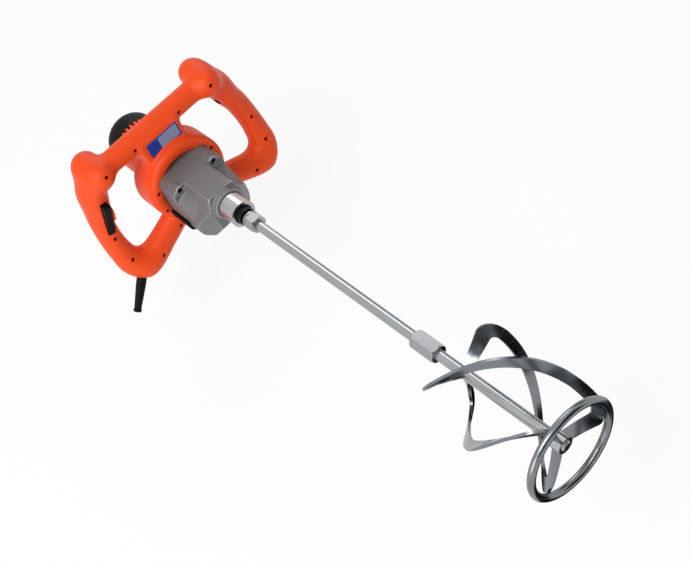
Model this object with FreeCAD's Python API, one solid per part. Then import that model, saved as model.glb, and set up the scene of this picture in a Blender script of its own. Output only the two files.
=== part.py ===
"""Hand-held mixing drill with a two-hand D-handle, a geared motor head and a three-blade paddle.

Frame: millimetres, +Z up towards the top bar, the spindle along Y with the paddle at -Y and the
motor at +Y.  The origin is on the spindle axis, at the middle of the bright clamping neck.
"""
import FreeCAD, Part
import math
import os

V = FreeCAD.Vector
PARTS_DIR = "parts"

# Fits and walls
RUNNING_GAP = 0.03            # radial clearance between a shaft and its bearing or bush
SEAT_GAP = 0.02               # radial clearance between pieces of one body
FREE_GAP = 0.5                # clearance between a moving piece and the wall beside it
SHELL_WALL = 2.8              # moulded housing
CASE_WALL = 3.2               # die-cast gear case

# Drive axes, as X and Z in the front view
MOTOR_DROP = 12.0             # the motor axis lies this far below the spindle axis
MOTOR_Z = -MOTOR_DROP

# Gear train: armature pinion to lay gear, lay pinion to output gear
PRESSURE_ANGLE = math.radians(25.0)
FIRST_MODULE = 0.9
FIRST_PINION_TEETH = 8
FIRST_GEAR_TEETH = 40
SECOND_MODULE = 1.5
SECOND_PINION_TEETH = 9
SECOND_GEAR_TEETH = 25
GEAR_BACKLASH = 0.16
FIRST_GEAR_WIDTH = 10.0
SECOND_GEAR_WIDTH = 18.0

# Clamping neck and spindle
NECK_RADIUS = 19.0
NECK_LENGTH = 29.0
NECK_FRONT_Y = -15.0
NECK_BORE_RADIUS = 14.0
NECK_STEP_RADIUS = 11.5
SEAL_WIDTH = 6.0
SPINDLE_RADIUS = 10.0
SPINDLE_FLANGE_RADIUS = 12.5
SPINDLE_FLANGE_LENGTH = 11.0
SPINDLE_NOSE_LENGTH = 5.5
SPINDLE_TAIL_RADIUS = 6.0
SOCKET_DEPTH = 38.0

# Paddle
ROD_RADIUS = 7.0
NUT_ACROSS_FLATS = 22.0
NUT_LENGTH = 17.0
WASHER_THICKNESS = 1.8
WASHER_RADIUS = 12.0
COUPLING_REAR_Y = -345.0
COUPLING_LENGTH = 38.0
ROD_END_GAP = 1.0
BLADE_TOP_Y = -423.0          # middle of the strip where it meets the rod
BLADE_TOP_RISE = 4.0         # the upper arm rises towards the motor by this much
BLADE_BOTTOM_Y = -563.0       # middle of the strip where it meets the hub
BLADE_BOTTOM_DROP = 10.5      # the lower arm drops towards the ring by this much
BLADE_RADIUS = 66.5
BLADE_WIDTH = 13.0
BLADE_THICKNESS = 3.6
BLADE_CORNER_RADIUS = 12.5
BLADE_COUNT = 3
BLADE_ARM_STATIONS = 2        # loft steps along each straight arm, each bend and the leg
BLADE_BEND_STATIONS = 4
BLADE_LEG_STATIONS = 9
BLADE_ROOT_RADIUS = 4.0       # the strip starts inside the rod and is coped to it
BLADE_TOP_ANGLE = math.radians(25.0)
BLADE_TURN = math.radians(150.0)     # from the rod to the hub
BLADE_LEAD = math.radians(8.0)       # the middle of the strip runs ahead of an even twist
RING_RADIUS = 60.0
RING_DROP = 6.0               # from the lower end of the blades to the middle of the ring
RING_WIRE_RADIUS = 4.9
HUB_RADIUS = 10.5
HUB_LENGTH = 19.0
ROD_TIP_BEHIND_RING = 4.5

# Gear case
CASE_HALF_WIDTH = 44.0
CASE_HALF_HEIGHT = 36.0
CASE_CORNER_RADIUS = 14.0
CASE_FOOT_RADIUS = 6.0
CASE_HUMP_HALF_WIDTH = 20.5
CASE_SHOULDER_DROP = 12.0     # height of the hump above the shoulders beside it
CASE_SHOULDER_RADIUS = 20.0
CASE_REAR_Y = 128.0
CASE_LUG_FRONT_Y = 79.0       # seats of the case screws
CASE_HUMP_FOOT = (26.0, 7.0)  # X and Z where the side of the hump meets the sloping shoulder
CASE_SHOULDER_EDGE_Z = -23.0  # outer edge of the sloping shoulder
CASE_CHAMFER_X = 25.0         # the front corners are cut off from here
CASE_CHAMFER_REAR_Y = 48.0    # to here on the outer side
CASE_CHAMFER_LEAN = 8.0       # and lean back by this much from top to bottom
CASE_EDGE_RADIUS = 2.5
CASE_LOW_RADIUS = 7.0         # lower outer corners
CASE_BAY_STEP_Y = 84.0        # the inside widens behind this station
CASE_FRONT_Y = 22.5
CASE_FRONT_WALL = 12.0
CASE_CHIN_RISE = 14.0
GEAR_BAY_Y = 64.0
NOSE_BASE_RADIUS = 23.8
NOSE_TIP_RADIUS = 22.0
SPINDLE_BAY_RADIUS = 16.5
CASE_SCREW_SPAN = 30.5        # half pitch of the four case screws, both ways
CASE_SCREW_RADIUS = 2.5
CASE_SCREW_HEAD_RADIUS = 4.2
CASE_SCREW_HEAD_LENGTH = 5.0

# Bearings as bore radius, outer radius and width
SPINDLE_FRONT_BEARING = (SPINDLE_RADIUS, 18.5, 9.0)
SPINDLE_REAR_BEARING = (SPINDLE_TAIL_RADIUS, 14.0, 8.0)
LAYSHAFT_BEARING = (3.0, 6.5, 5.0)
ARMATURE_FRONT_BEARING = (5.0, 13.0, 8.0)
ARMATURE_REAR_BEARING = (4.0, 11.0, 7.0)
SPINDLE_FRONT_BEARING_Y = 16.0
GEAR_PLATE_Y = 92.0
GEAR_PLATE_THICKNESS = 11.0
BEARING_PLATE_THICKNESS = 10.0
BEARING_PLATE_RADIUS = 46.5
BEARING_LIP = 1.5             # wall in front of the rear spindle bearing
LAYSHAFT_RADIUS = 4.6
BAFFLE_REACH = 40.0
BAFFLE_WALL = 4.0
BAFFLE_DROP = 20.0            # top edge of the shroud below the motor axis

# Motor
STATOR_RADIUS = 36.0
STATOR_BORE_RADIUS = 22.8
STATOR_FRONT_Y = 160.0
STATOR_LENGTH = 52.0
COIL_INNER_RADIUS = 24.0
COIL_OUTER_RADIUS = 31.0
COIL_OVERHANG = 8.0
COIL_WINDOW_ANGLE = math.radians(34.0)
ARMATURE_AIR_GAP = 0.8
ARMATURE_SLOTS = 12
ARMATURE_SLOT_WIDTH = 2.2
ARMATURE_SLOT_DEPTH = 8.0
WINDING_RADIUS = 19.0
WINDING_LENGTH = 8.5
COMMUTATOR_RADIUS = 12.5
COMMUTATOR_LENGTH = 15.0
COMMUTATOR_BARS = 24
FAN_RADIUS = 43.0
FAN_HUB_RADIUS = 9.0
FAN_FRONT_Y = 139.5
FAN_LENGTH = 11.0
FAN_BLADES = 11
BRUSH_WIDTH = 6.5
BRUSH_HEIGHT = 10.0
BRUSH_LENGTH = 14.0

# D-handle housing: the halves meet on a wide arc about an axis along X
PARTING_RADIUS = 330.0
PARTING_CENTRE_Y = -179.0
PARTING_CENTRE_Z = 23.0
SEAM_TURN = 40.0              # keeps the seams of round faces away from the parting arc
BAR_RADIUS = 15.8
BAR_Z = 77.0
BULB_RADIUS = 19.6            # long knob at each end of the top bar
BULB_FRONT = (95.6, 136.6, 77.8)
BULB_REAR = (96.9, 169.1, 82.0)
CORNER_RADIUS = 21.4          # ball where the grip turns into the lower arm
DRUM_RADIUS = 62.0
DRUM_FRONT_Y = 114.0
DRUM_REAR_Y = 166.0
DRUM_EDGE_RADIUS = 12.0
HUMP_RADIUS = 39.5
HUMP_REAR_Y = 238.0
DISH_RADIUS = 47.0
DISH_FLOOR_RADIUS = 36.0
DISH_DEPTH = 10.0
WEB_HALF_WIDTH = 35.0
WEB_FRONT_Y = 127.0
WEB_REAR_Y = 168.0
WEB_EDGE_RADIUS = 7.0
WEB_FOOT_Z = 18.0
VENT_COUNT = 32
VENT_WIDTH = 3.6
VENT_DEPTH = 9.0

# Stations of the right grip and of the lower arm in the front view: X, Z, half width in that view,
# how far the middle lies behind the parting arc, and half depth along the spindle
GRIP_LINE = (
    (101.0, 75.0, 20.3, 9.5, 29.0),
    (112.0, 49.0, 19.3, 8.0, 26.5),
    (122.0, 21.2, 17.5, 8.0, 25.0),
    (127.7, 2.8, 16.4, 4.9, 21.0),
    (131.6, -26.0, 16.2, 2.5, 18.5),
    (131.8, -54.0, 17.6, 0.6, 18.0),
    (127.6, -76.5, 19.8, 0.0, 19.8),
    (115.5, -91.0, 21.0, 0.0, 21.0),
)
ARM_LINE = (
    (115.5, -91.0, 21.0, 0.0, 21.0),
    (97.0, -88.0, 19.8, 0.0, 19.8),
    (75.0, -81.0, 18.8, 0.0, 18.8),
    (52.0, -73.0, 18.4, 0.0, 18.4),
    (30.0, -63.5, 18.0, 0.0, 18.0),
    (9.0, -52.5, 17.0, 0.0, 17.0),
)

# Housing screws: X, Z and the depth of the skin in front of the parting arc
HOUSING_SCREWS = (
    (94.2, 83.9, 27.3),
    (39.4, 76.6, 15.8),
    (130.5, -19.5, 16.0),
    (129.5, -60.0, 17.6),
    (91.7, -86.0, 19.2),
    (46.0, -72.0, 18.4),
    (49.0, 5.1, 36.0),
    (51.2, -28.7, 34.0),
)
SCREW_BOSS_RADIUS = 4.6
SCREW_RADIUS = 1.9
SCREW_HEAD_RADIUS = 2.8
SCREW_HEAD_LENGTH = 2.4
SCREW_SEAT_DEPTH = 7.0
SCREW_GRIP = 12.0

# Motor cap
CAP_DEPTH = 40.0
CAP_DOME_RADIUS = 22.0
CAP_SPIGOT_LENGTH = 11.0
CAP_WALL = 2.6
CAP_SLOTS = 8

# Trigger in the left grip, on a line along the front of the grip
TRIGGER_TOP = (-115.5, 41.0)
TRIGGER_FOOT = (-129.0, -9.0)
TRIGGER_WIDTH = 10.5
TRIGGER_PROUD = 9.0
TRIGGER_FOOT_PROUD = 1.0
TRIGGER_SKIN_Y = 133.0
TRIGGER_DEPTH = 7.5
TRIGGER_PIVOT_UP = 6.0        # pivot above the lower end of the trigger
TRIGGER_PIN_RADIUS = 1.6

# Lock button behind the left grip and speed dial in the right grip
LOCK_RADIUS = 5.0
LOCK_PROUD = 3.5
LOCK_X = -121.5
LOCK_Z = 22.0
LOCK_LENGTH = 12.0
LOCK_FLANGE_GAP = 3.6         # clears the curved inside of the grip
DIAL_RADIUS = 12.0
DIAL_THICKNESS = 4.4
DIAL_X = 111.5
DIAL_Z = 32.0
DIAL_AXLE_RADIUS = 2.0
DIAL_AXLE_LENGTH = 16.0
DIAL_TEETH = 24

# Cable boot at the lower left corner
BOOT_START = (-122.0, -92.0)
BOOT_ANGLE = math.radians(222.0)
BOOT_LENGTH = 66.0
BOOT_ROOT_RADIUS = 7.2
BOOT_END_RADIUS = 5.2
BOOT_BEAD_RADIUS = 6.0
BOOT_BORE_RADIUS = 3.9        # takes the sheath of the cord
BOOT_SHEATH_STOP = 24.0       # the sheath ends here, just outside the housing
BOOT_WIRE_RADIUS = 2.4        # from there only the bare wires go on
BOOT_FLANGE_RADIUS = 9.5
BOOT_FLANGE_LENGTH = 3.0

saved = []


def save(name, shape):
    """Write one node as a STEP file and report its solids."""
    solids = shape.Solids
    whole = Part.makeCompound(solids) if len(solids) > 1 else solids[0]
    whole.exportStep(os.path.join(PARTS_DIR, name + ".step"))
    saved.append(name)
    print(f"{name}: solids {len(solids)} valid {whole.isValid()} volume {whole.Volume:.1f}")


def parting_y(z):
    """Y of the parting arc at a height."""
    return PARTING_CENTRE_Y + math.sqrt(PARTING_RADIUS ** 2 - (z - PARTING_CENTRE_Z) ** 2)


def rod_y(radius, y0, y1, x=0.0, z=0.0):
    """Cylinder along Y between two stations."""
    low, high = min(y0, y1), max(y0, y1)
    return Part.makeCylinder(radius, high - low, V(x, low, z), V(0, 1, 0))


def sleeve_y(inner, outer, y0, y1, x=0.0, z=0.0):
    """Plain bush along Y."""
    reach = 1.0
    return rod_y(outer, y0, y1, x, z).cut(rod_y(inner, min(y0, y1) - reach, max(y0, y1) + reach, x, z))


def block(x0, x1, y0, y1, z0, z1):
    """Axis-aligned box from its limits."""
    return Part.makeBox(x1 - x0, y1 - y0, z1 - z0, V(x0, y0, z0))


def lathe_y(profile, x=0.0, z=0.0):
    """Solid of revolution about a line along Y, from (radius, y) points."""
    points = [V(x, y, z - r) for r, y in profile]
    face = Part.Face(Part.makePolygon(points + [points[0]]))
    return face.revolve(V(x, 0, z), V(0, 1, 0), 360)


def prism_y(points, y0, y1):
    """Extrude a closed outline of (x, z) points along Y."""
    corners = [V(x, y0, z) for x, z in points]
    face = Part.Face(Part.makePolygon(corners + [corners[0]]))
    return face.extrude(V(0, y1 - y0, 0))


def hexagon_y(across_flats, y0, y1):
    """Hexagonal bar along Y with chamfered ends."""
    corner = across_flats / math.sqrt(3)
    outline = [(corner * math.cos(k * math.pi / 3), corner * math.sin(k * math.pi / 3)) for k in range(6)]
    chamfer = corner - across_flats / 2
    low, high = min(y0, y1), max(y0, y1)
    turned = lathe_y([
        (0, low), (across_flats / 2, low), (corner, low + chamfer), (corner, high - chamfer),
        (across_flats / 2, high), (0, high),
    ])
    return prism_y(outline, low, high).common(turned)


def fillet_along_y(solid, radius):
    """Round every straight edge that runs along Y."""
    edges = [
        edge for edge in solid.Edges
        if isinstance(edge.Curve, Part.Line) and abs(edge.tangentAt(edge.FirstParameter).y) > 0.999
    ]
    return solid.makeFillet(radius, edges)


def mirrored(solid):
    """Copy of a solid on the other side of the middle plane."""
    return solid.mirror(V(0, 0, 0), V(1, 0, 0))


def involute_gear(module, teeth, tip_factor, bore, y0, y1, x, z, phase):
    """Spur gear along Y whose flanks are arcs through three points of the involute."""
    pitch = module * teeth / 2
    base = pitch * math.cos(PRESSURE_ANGLE)
    tip = pitch + tip_factor * module
    root = pitch - 1.2 * module
    inv_pitch = math.tan(PRESSURE_ANGLE) - PRESSURE_ANGLE
    half_tooth = math.pi / (2 * teeth) - GEAR_BACKLASH / (2 * pitch)

    def flank_angle(radius):
        """Half angle of the tooth at a radius."""
        if radius <= base:
            return half_tooth + inv_pitch
        alpha = math.acos(base / radius)
        return half_tooth + inv_pitch - (math.tan(alpha) - alpha)

    def polar(radius, angle):
        """Point of the outline at the front end of the gear."""
        return V(x + radius * math.cos(angle), y0, z + radius * math.sin(angle))

    start = max(base, root)
    middle = (start + tip) / 2
    edges = []
    step = 2 * math.pi / teeth
    for k in range(teeth):
        axis = phase + k * step
        foot = polar(root, axis - flank_angle(start))
        rise = polar(start, axis - flank_angle(start))
        low_tip = polar(tip, axis - flank_angle(tip))
        high_tip = polar(tip, axis + flank_angle(tip))
        fall = polar(start, axis + flank_angle(start))
        heel = polar(root, axis + flank_angle(start))
        next_foot = polar(root, axis + step - flank_angle(start))
        if root < start:
            edges.append(Part.LineSegment(foot, rise).toShape())
        edges.append(Part.Arc(rise, polar(middle, axis - flank_angle(middle)), low_tip).toShape())
        edges.append(Part.Arc(low_tip, polar(tip, axis), high_tip).toShape())
        edges.append(Part.Arc(high_tip, polar(middle, axis + flank_angle(middle)), fall).toShape())
        if root < start:
            edges.append(Part.LineSegment(fall, heel).toShape())
        edges.append(Part.Arc(heel, polar(root, axis + step / 2), next_foot).toShape())
    gear = Part.Face(Part.Wire(edges)).extrude(V(0, y1 - y0, 0))
    if bore > 0:
        gear = gear.cut(rod_y(bore, y0 - 1, y1 + 1, x, z))
    return gear


# Places worked out from the driving sizes
NECK_REAR_Y = NECK_FRONT_Y + NECK_LENGTH
FIRST_CENTRES = FIRST_MODULE * (FIRST_PINION_TEETH + FIRST_GEAR_TEETH) / 2
SECOND_CENTRES = SECOND_MODULE * (SECOND_PINION_TEETH + SECOND_GEAR_TEETH) / 2
LAY_Z = -(SECOND_CENTRES ** 2 - FIRST_CENTRES ** 2 + MOTOR_DROP ** 2) / (2 * MOTOR_DROP)
LAY_X = math.sqrt(SECOND_CENTRES ** 2 - LAY_Z ** 2)
CASE_TOP_Z = MOTOR_Z + CASE_HALF_HEIGHT
CASE_BOTTOM_Z = MOTOR_Z - CASE_HALF_HEIGHT
CAVITY_FRONT_Y = CASE_FRONT_Y + CASE_FRONT_WALL
LAY_BEARING_Y = GEAR_BAY_Y - LAYSHAFT_BEARING[2]
OUTPUT_GEAR_Y = GEAR_PLATE_Y - 4.0 - SECOND_GEAR_WIDTH
BEARING_PLATE_Y = CASE_REAR_Y
PLATE_REAR_Y = BEARING_PLATE_Y + BEARING_PLATE_THICKNESS
LAY_GEAR_Y = GEAR_PLATE_Y + GEAR_PLATE_THICKNESS + 3.0
NUT_REAR_Y = NECK_FRONT_Y - SPINDLE_FLANGE_LENGTH + 2.0 - SPINDLE_NOSE_LENGTH - WASHER_THICKNESS
NUT_FRONT_Y = NUT_REAR_Y - NUT_LENGTH
SPINDLE_FRONT_Y = NUT_REAR_Y + WASHER_THICKNESS
COUPLING_FRONT_Y = COUPLING_REAR_Y - COUPLING_LENGTH
COUPLING_MID_Y = (COUPLING_REAR_Y + COUPLING_FRONT_Y) / 2
RING_Y = BLADE_BOTTOM_Y - BLADE_BOTTOM_DROP - RING_DROP
HUB_FRONT_Y = BLADE_BOTTOM_Y - HUB_LENGTH / 2
ROD_TIP_Y = RING_Y + ROD_TIP_BEHIND_RING
STATOR_REAR_Y = STATOR_FRONT_Y + STATOR_LENGTH
UPPER_SCREW_SEAT_Y = CASE_LUG_FRONT_Y + CASE_SCREW_HEAD_LENGTH + 2.0
LOWER_SCREW_SEAT_Y = PLATE_REAR_Y - CASE_SCREW_HEAD_LENGTH - 0.5
LOWER_SCREW_TIP_Y = CASE_REAR_Y - 24.0
ARMATURE_RADIUS = STATOR_BORE_RADIUS - ARMATURE_AIR_GAP
COMMUTATOR_Y = STATOR_REAR_Y + WINDING_LENGTH + 1.5
REAR_BEARING_Y = COMMUTATOR_Y + COMMUTATOR_LENGTH + 3.0
RIM_OUTER_RADIUS = HUMP_RADIUS - SHELL_WALL - CAP_WALL - 0.5
RIM_INNER_RADIUS = RIM_OUTER_RADIUS - 2.6
BRACKET_ARM_Y = COMMUTATOR_Y + COMMUTATOR_LENGTH + 0.8


def tube_loft(line, inset):
    """One handle tube: a loft through ovals square to its centre line, with their seams at the rear."""
    centres = [V(x, parting_y(z) + behind, z) for x, z, _, behind, _ in line]
    spine = Part.BSplineCurve()
    spine.interpolate(centres)
    rings = []
    for centre, (_, _, half, _, deep) in zip(centres, line):
        along = spine.tangent(spine.parameter(centre))[0]
        across = along.cross(V(0, 1, 0)).normalize()
        forward = along.cross(across).normalize()
        if deep > half:
            wire = Part.Wire(Part.Ellipse(V(0, 0, 0), deep - inset, half - inset).toShape())
        else:
            wire = Part.Wire(Part.makeCircle(half - inset))
        wire.rotate(V(0, 0, 0), V(0, 0, 1), -90)
        stand = FreeCAD.Placement(centre, FreeCAD.Rotation(across, forward, along, "ZXY"))
        wire.Placement = stand.multiply(wire.Placement)
        rings.append(wire)
    return Part.makeLoft(rings, True, False)


def corner_form(inset):
    """Ball at the lower corner of the handle."""
    x, z = ARM_LINE[0][:2]
    ball = Part.makeSphere(CORNER_RADIUS - inset)
    ball.rotate(V(0, 0, 0), V(0, 0, 1), SEAM_TURN)
    ball.translate(V(x, parting_y(z), z))
    return ball


def bulb_form(inset):
    """Long rounded knob at the end of the top bar: a turned capsule."""
    foot = V(*BULB_FRONT)
    top = V(*BULB_REAR)
    axis = (top - foot).normalize()
    side = axis.cross(V(1, 0, 0)).normalize()
    side = FreeCAD.Rotation(axis, SEAM_TURN).multVec(side)
    radius = BULB_RADIUS - inset
    low = foot - axis * radius
    high = top + axis * radius
    slant = math.sqrt(0.5) * radius
    edges = [
        Part.Arc(low, foot - axis * slant + side * slant, foot + side * radius).toShape(),
        Part.LineSegment(foot + side * radius, top + side * radius).toShape(),
        Part.Arc(top + side * radius, top + axis * slant + side * slant, high).toShape(),
        Part.LineSegment(high, low).toShape(),
    ]
    return Part.Face(Part.Wire(edges)).revolve(foot, axis, 360)


def drum_form(inset):
    """Round motor body: a wide drum in front and a narrower hump behind."""
    radius = DRUM_RADIUS - inset
    hump = HUMP_RADIUS - inset
    front = DRUM_FRONT_Y + inset
    rear = DRUM_REAR_Y - inset
    rim = DRUM_EDGE_RADIUS - inset
    lean = 8.0
    turned = lathe_y([
        (0, front), (radius - rim, front), (radius - 0.3 * rim, front + 0.3 * rim), (radius, front + rim),
        (radius, rear - rim), (radius - rim, rear), (hump + lean, rear), (hump, rear + lean),
        (hump, HUMP_REAR_Y), (0, HUMP_REAR_Y),
    ], 0.0, MOTOR_Z)
    return turned


def dish_form(inset):
    """Shallow cone in the front of the drum round the gear case."""
    return lathe_y([
        (0, DRUM_FRONT_Y - 5), (DISH_RADIUS + inset, DRUM_FRONT_Y - 5), (DISH_RADIUS + inset, DRUM_FRONT_Y),
        (DISH_FLOOR_RADIUS + inset, DRUM_FRONT_Y + DISH_DEPTH + inset), (0, DRUM_FRONT_Y + DISH_DEPTH + inset),
    ], 0.0, MOTOR_Z)


def web_form(inset):
    """Block that carries the top bar above the drum."""
    half = WEB_HALF_WIDTH - inset
    solid = block(-half, half, WEB_FRONT_Y + inset, WEB_REAR_Y - inset, WEB_FOOT_Z, BAR_Z)
    corners = [edge for edge in solid.Edges if abs(edge.tangentAt(edge.FirstParameter).z) > 0.999]
    return solid.makeFillet(WEB_EDGE_RADIUS - inset / 2, corners)


def housing_form(inset):
    """Whole outside of the housing, or its inside when inset by the wall."""
    bulb = bulb_form(inset)
    reach = BULB_FRONT[0]
    bar = Part.makeCylinder(BAR_RADIUS - inset, 2 * reach, V(-reach, parting_y(BAR_Z), BAR_Z), V(1, 0, 0))
    bar.rotate(V(0, parting_y(BAR_Z), BAR_Z), V(1, 0, 0), SEAM_TURN)
    side = bulb.fuse(tube_loft(GRIP_LINE, inset)).fuse(corner_form(inset)).fuse(tube_loft(ARM_LINE, inset))
    form = side.fuse(mirrored(side))
    for piece in (bar, web_form(inset), drum_form(inset)):
        form = form.fuse(piece)
    return form.cut(dish_form(inset)).removeSplitter()


def rounded_bar(half, low, high, y0, y1, top_radius, foot_radius):
    """Bar along Y with its upper and lower long edges rounded."""
    solid = block(-half, half, y0, y1, low, high)
    middle = (low + high) / 2
    long_edges = [edge for edge in solid.Edges if abs(edge.tangentAt(edge.FirstParameter).y) > 0.999]
    upper = [edge for edge in long_edges if edge.CenterOfMass.z > middle]
    solid = solid.makeFillet(top_radius, upper)
    long_edges = [
        edge for edge in solid.Edges
        if isinstance(edge.Curve, Part.Line) and abs(edge.tangentAt(edge.FirstParameter).y) > 0.999
    ]
    lower = [edge for edge in long_edges if edge.CenterOfMass.z < low + foot_radius]
    return solid.makeFillet(foot_radius, lower)


def case_front_form(inset, y0, y1):
    """Front of the gear case: a tall hump over the spindle and sloping shoulders beside it."""
    half = CASE_HALF_WIDTH - inset
    low = CASE_BOTTOM_Z + inset
    high = CASE_TOP_Z - inset
    top = CASE_HUMP_HALF_WIDTH - inset
    foot_x, foot_z = CASE_HUMP_FOOT
    edge_z = CASE_SHOULDER_EDGE_Z - inset / 2
    right = [(half, low), (half, edge_z), (foot_x - inset, foot_z - inset / 2), (top, high)]
    points = [V(x, y0, z) for x, z in right] + [V(-x, y0, z) for x, z in reversed(right)]
    solid = Part.Face(Part.makePolygon(points + [points[0]])).extrude(V(0, y1 - y0, 0))
    long_edges = [edge for edge in solid.Edges if abs(edge.tangentAt(edge.FirstParameter).y) > 0.999]
    low_edges = [edge for edge in long_edges if edge.CenterOfMass.z < low + 1]
    solid = solid.makeFillet(CASE_LOW_RADIUS, low_edges)
    long_edges = [edge for edge in solid.Edges if abs(edge.tangentAt(edge.FirstParameter).y) > 0.999]
    high_edges = [edge for edge in long_edges if edge.CenterOfMass.z > edge_z - 1]
    return solid.makeFillet(CASE_EDGE_RADIUS, high_edges)


def case_bay_form(inset, y0, y1):
    """Inside of the gear case beside the wheels: a tall hump over rounded shoulders."""
    low = CASE_BOTTOM_Z + inset
    shoulder = rounded_bar(
        CASE_HALF_WIDTH - inset, low, CASE_TOP_Z - CASE_SHOULDER_DROP - inset, y0, y1,
        CASE_SHOULDER_RADIUS - inset, CASE_FOOT_RADIUS - inset / 2)
    half = CASE_HUMP_HALF_WIDTH - inset * 0.8
    hump = rounded_bar(half, MOTOR_Z, CASE_TOP_Z - inset, y0, y1, CASE_FOOT_RADIUS - inset / 2, 1.0)
    return shoulder.fuse(hump).removeSplitter()


def case_rear_form(clearance, y0, y1):
    """Rear of the gear case, with full upper corners for the screws."""
    return rounded_bar(
        CASE_HALF_WIDTH + clearance, CASE_BOTTOM_Z - clearance, CASE_TOP_Z + clearance, y0, y1,
        CASE_CORNER_RADIUS + clearance, CASE_FOOT_RADIUS + clearance)


def case_screw_places():
    """X and Z of the four gear case screws."""
    span = CASE_SCREW_SPAN
    return [(sx * span, MOTOR_Z + sz * span) for sx in (-1, 1) for sz in (-1, 1)]


def make_gear_case():
    """Hollow die-cast case with a nose that carries the front spindle bearing."""
    rear = case_rear_form(0.0, CASE_LUG_FRONT_Y, CASE_REAR_Y)
    front = case_front_form(0.0, CASE_FRONT_Y, CASE_LUG_FRONT_Y)
    slab = 200.0
    outer = CASE_HALF_WIDTH + 1
    rise = CASE_TOP_Z - CASE_BOTTOM_Z
    for sign in (-1, 1):
        ends = []
        lean = CASE_CHAMFER_LEAN / 2
        for z, lean in ((CASE_BOTTOM_Z - 1, lean), (CASE_TOP_Z + 1, -lean)):
            corners = [
                V(sign * CASE_CHAMFER_X, CASE_FRONT_Y + lean, z), V(sign * outer, CASE_CHAMFER_REAR_Y + lean, z),
                V(sign * outer, CASE_FRONT_Y - rise, z), V(sign * CASE_CHAMFER_X, CASE_FRONT_Y - rise, z),
            ]
            ends.append(Part.makePolygon(corners + [corners[0]]))
        front = front.cut(Part.makeLoft(ends, True, True))
    chin = [
        V(0, CASE_FRONT_Y - 1, CASE_BOTTOM_Z - 1), V(0, CASE_FRONT_Y - 1, CASE_BOTTOM_Z + CASE_CHIN_RISE),
        V(0, CASE_FRONT_Y, CASE_BOTTOM_Z + CASE_CHIN_RISE), V(0, CASE_FRONT_Y + CASE_CHIN_RISE, CASE_BOTTOM_Z - 1),
    ]
    face = Part.Face(Part.makePolygon(chin + [chin[0]]))
    face.translate(V(-slab / 2, 0, 0))
    front = front.cut(face.extrude(V(slab, 0, 0)))
    nose = lathe_y([
        (0, NECK_REAR_Y), (NOSE_TIP_RADIUS, NECK_REAR_Y), (NOSE_BASE_RADIUS, CASE_FRONT_Y),
        (NOSE_BASE_RADIUS, CAVITY_FRONT_Y), (0, CAVITY_FRONT_Y),
    ])
    case = rear.fuse(front).fuse(nose).removeSplitter()
    cavity = case_front_form(CASE_WALL, GEAR_BAY_Y, CASE_BAY_STEP_Y + 1)
    cavity = cavity.fuse(case_bay_form(CASE_WALL, CASE_BAY_STEP_Y, CASE_REAR_Y + 1))
    spindle_bay = rod_y(SPINDLE_BAY_RADIUS, CAVITY_FRONT_Y, GEAR_BAY_Y + 1)
    _, outer, _ = SPINDLE_FRONT_BEARING
    bearing_seat = rod_y(outer + SEAT_GAP, SPINDLE_FRONT_BEARING_Y, CAVITY_FRONT_Y + 1)
    spindle_way = rod_y(SPINDLE_FLANGE_RADIUS, NECK_REAR_Y - 1, CAVITY_FRONT_Y)
    lay_seat = rod_y(LAYSHAFT_BEARING[1] + SEAT_GAP, LAY_BEARING_Y, GEAR_BAY_Y + 1, LAY_X, LAY_Z)
    case = case.cut(cavity).cut(spindle_bay).cut(bearing_seat).cut(spindle_way).cut(lay_seat)
    for x, z in case_screw_places():
        if z > MOTOR_Z:
            case = case.cut(rod_y(CASE_SCREW_RADIUS + SEAT_GAP, CASE_LUG_FRONT_Y - 1, CASE_REAR_Y + 1, x, z))
            case = case.cut(rod_y(CASE_SCREW_HEAD_RADIUS + 0.3, CASE_LUG_FRONT_Y - 1, UPPER_SCREW_SEAT_Y, x, z))
        else:
            case = case.cut(rod_y(CASE_SCREW_RADIUS + SEAT_GAP, LOWER_SCREW_TIP_Y, CASE_REAR_Y + 1, x, z))
    return case


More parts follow.
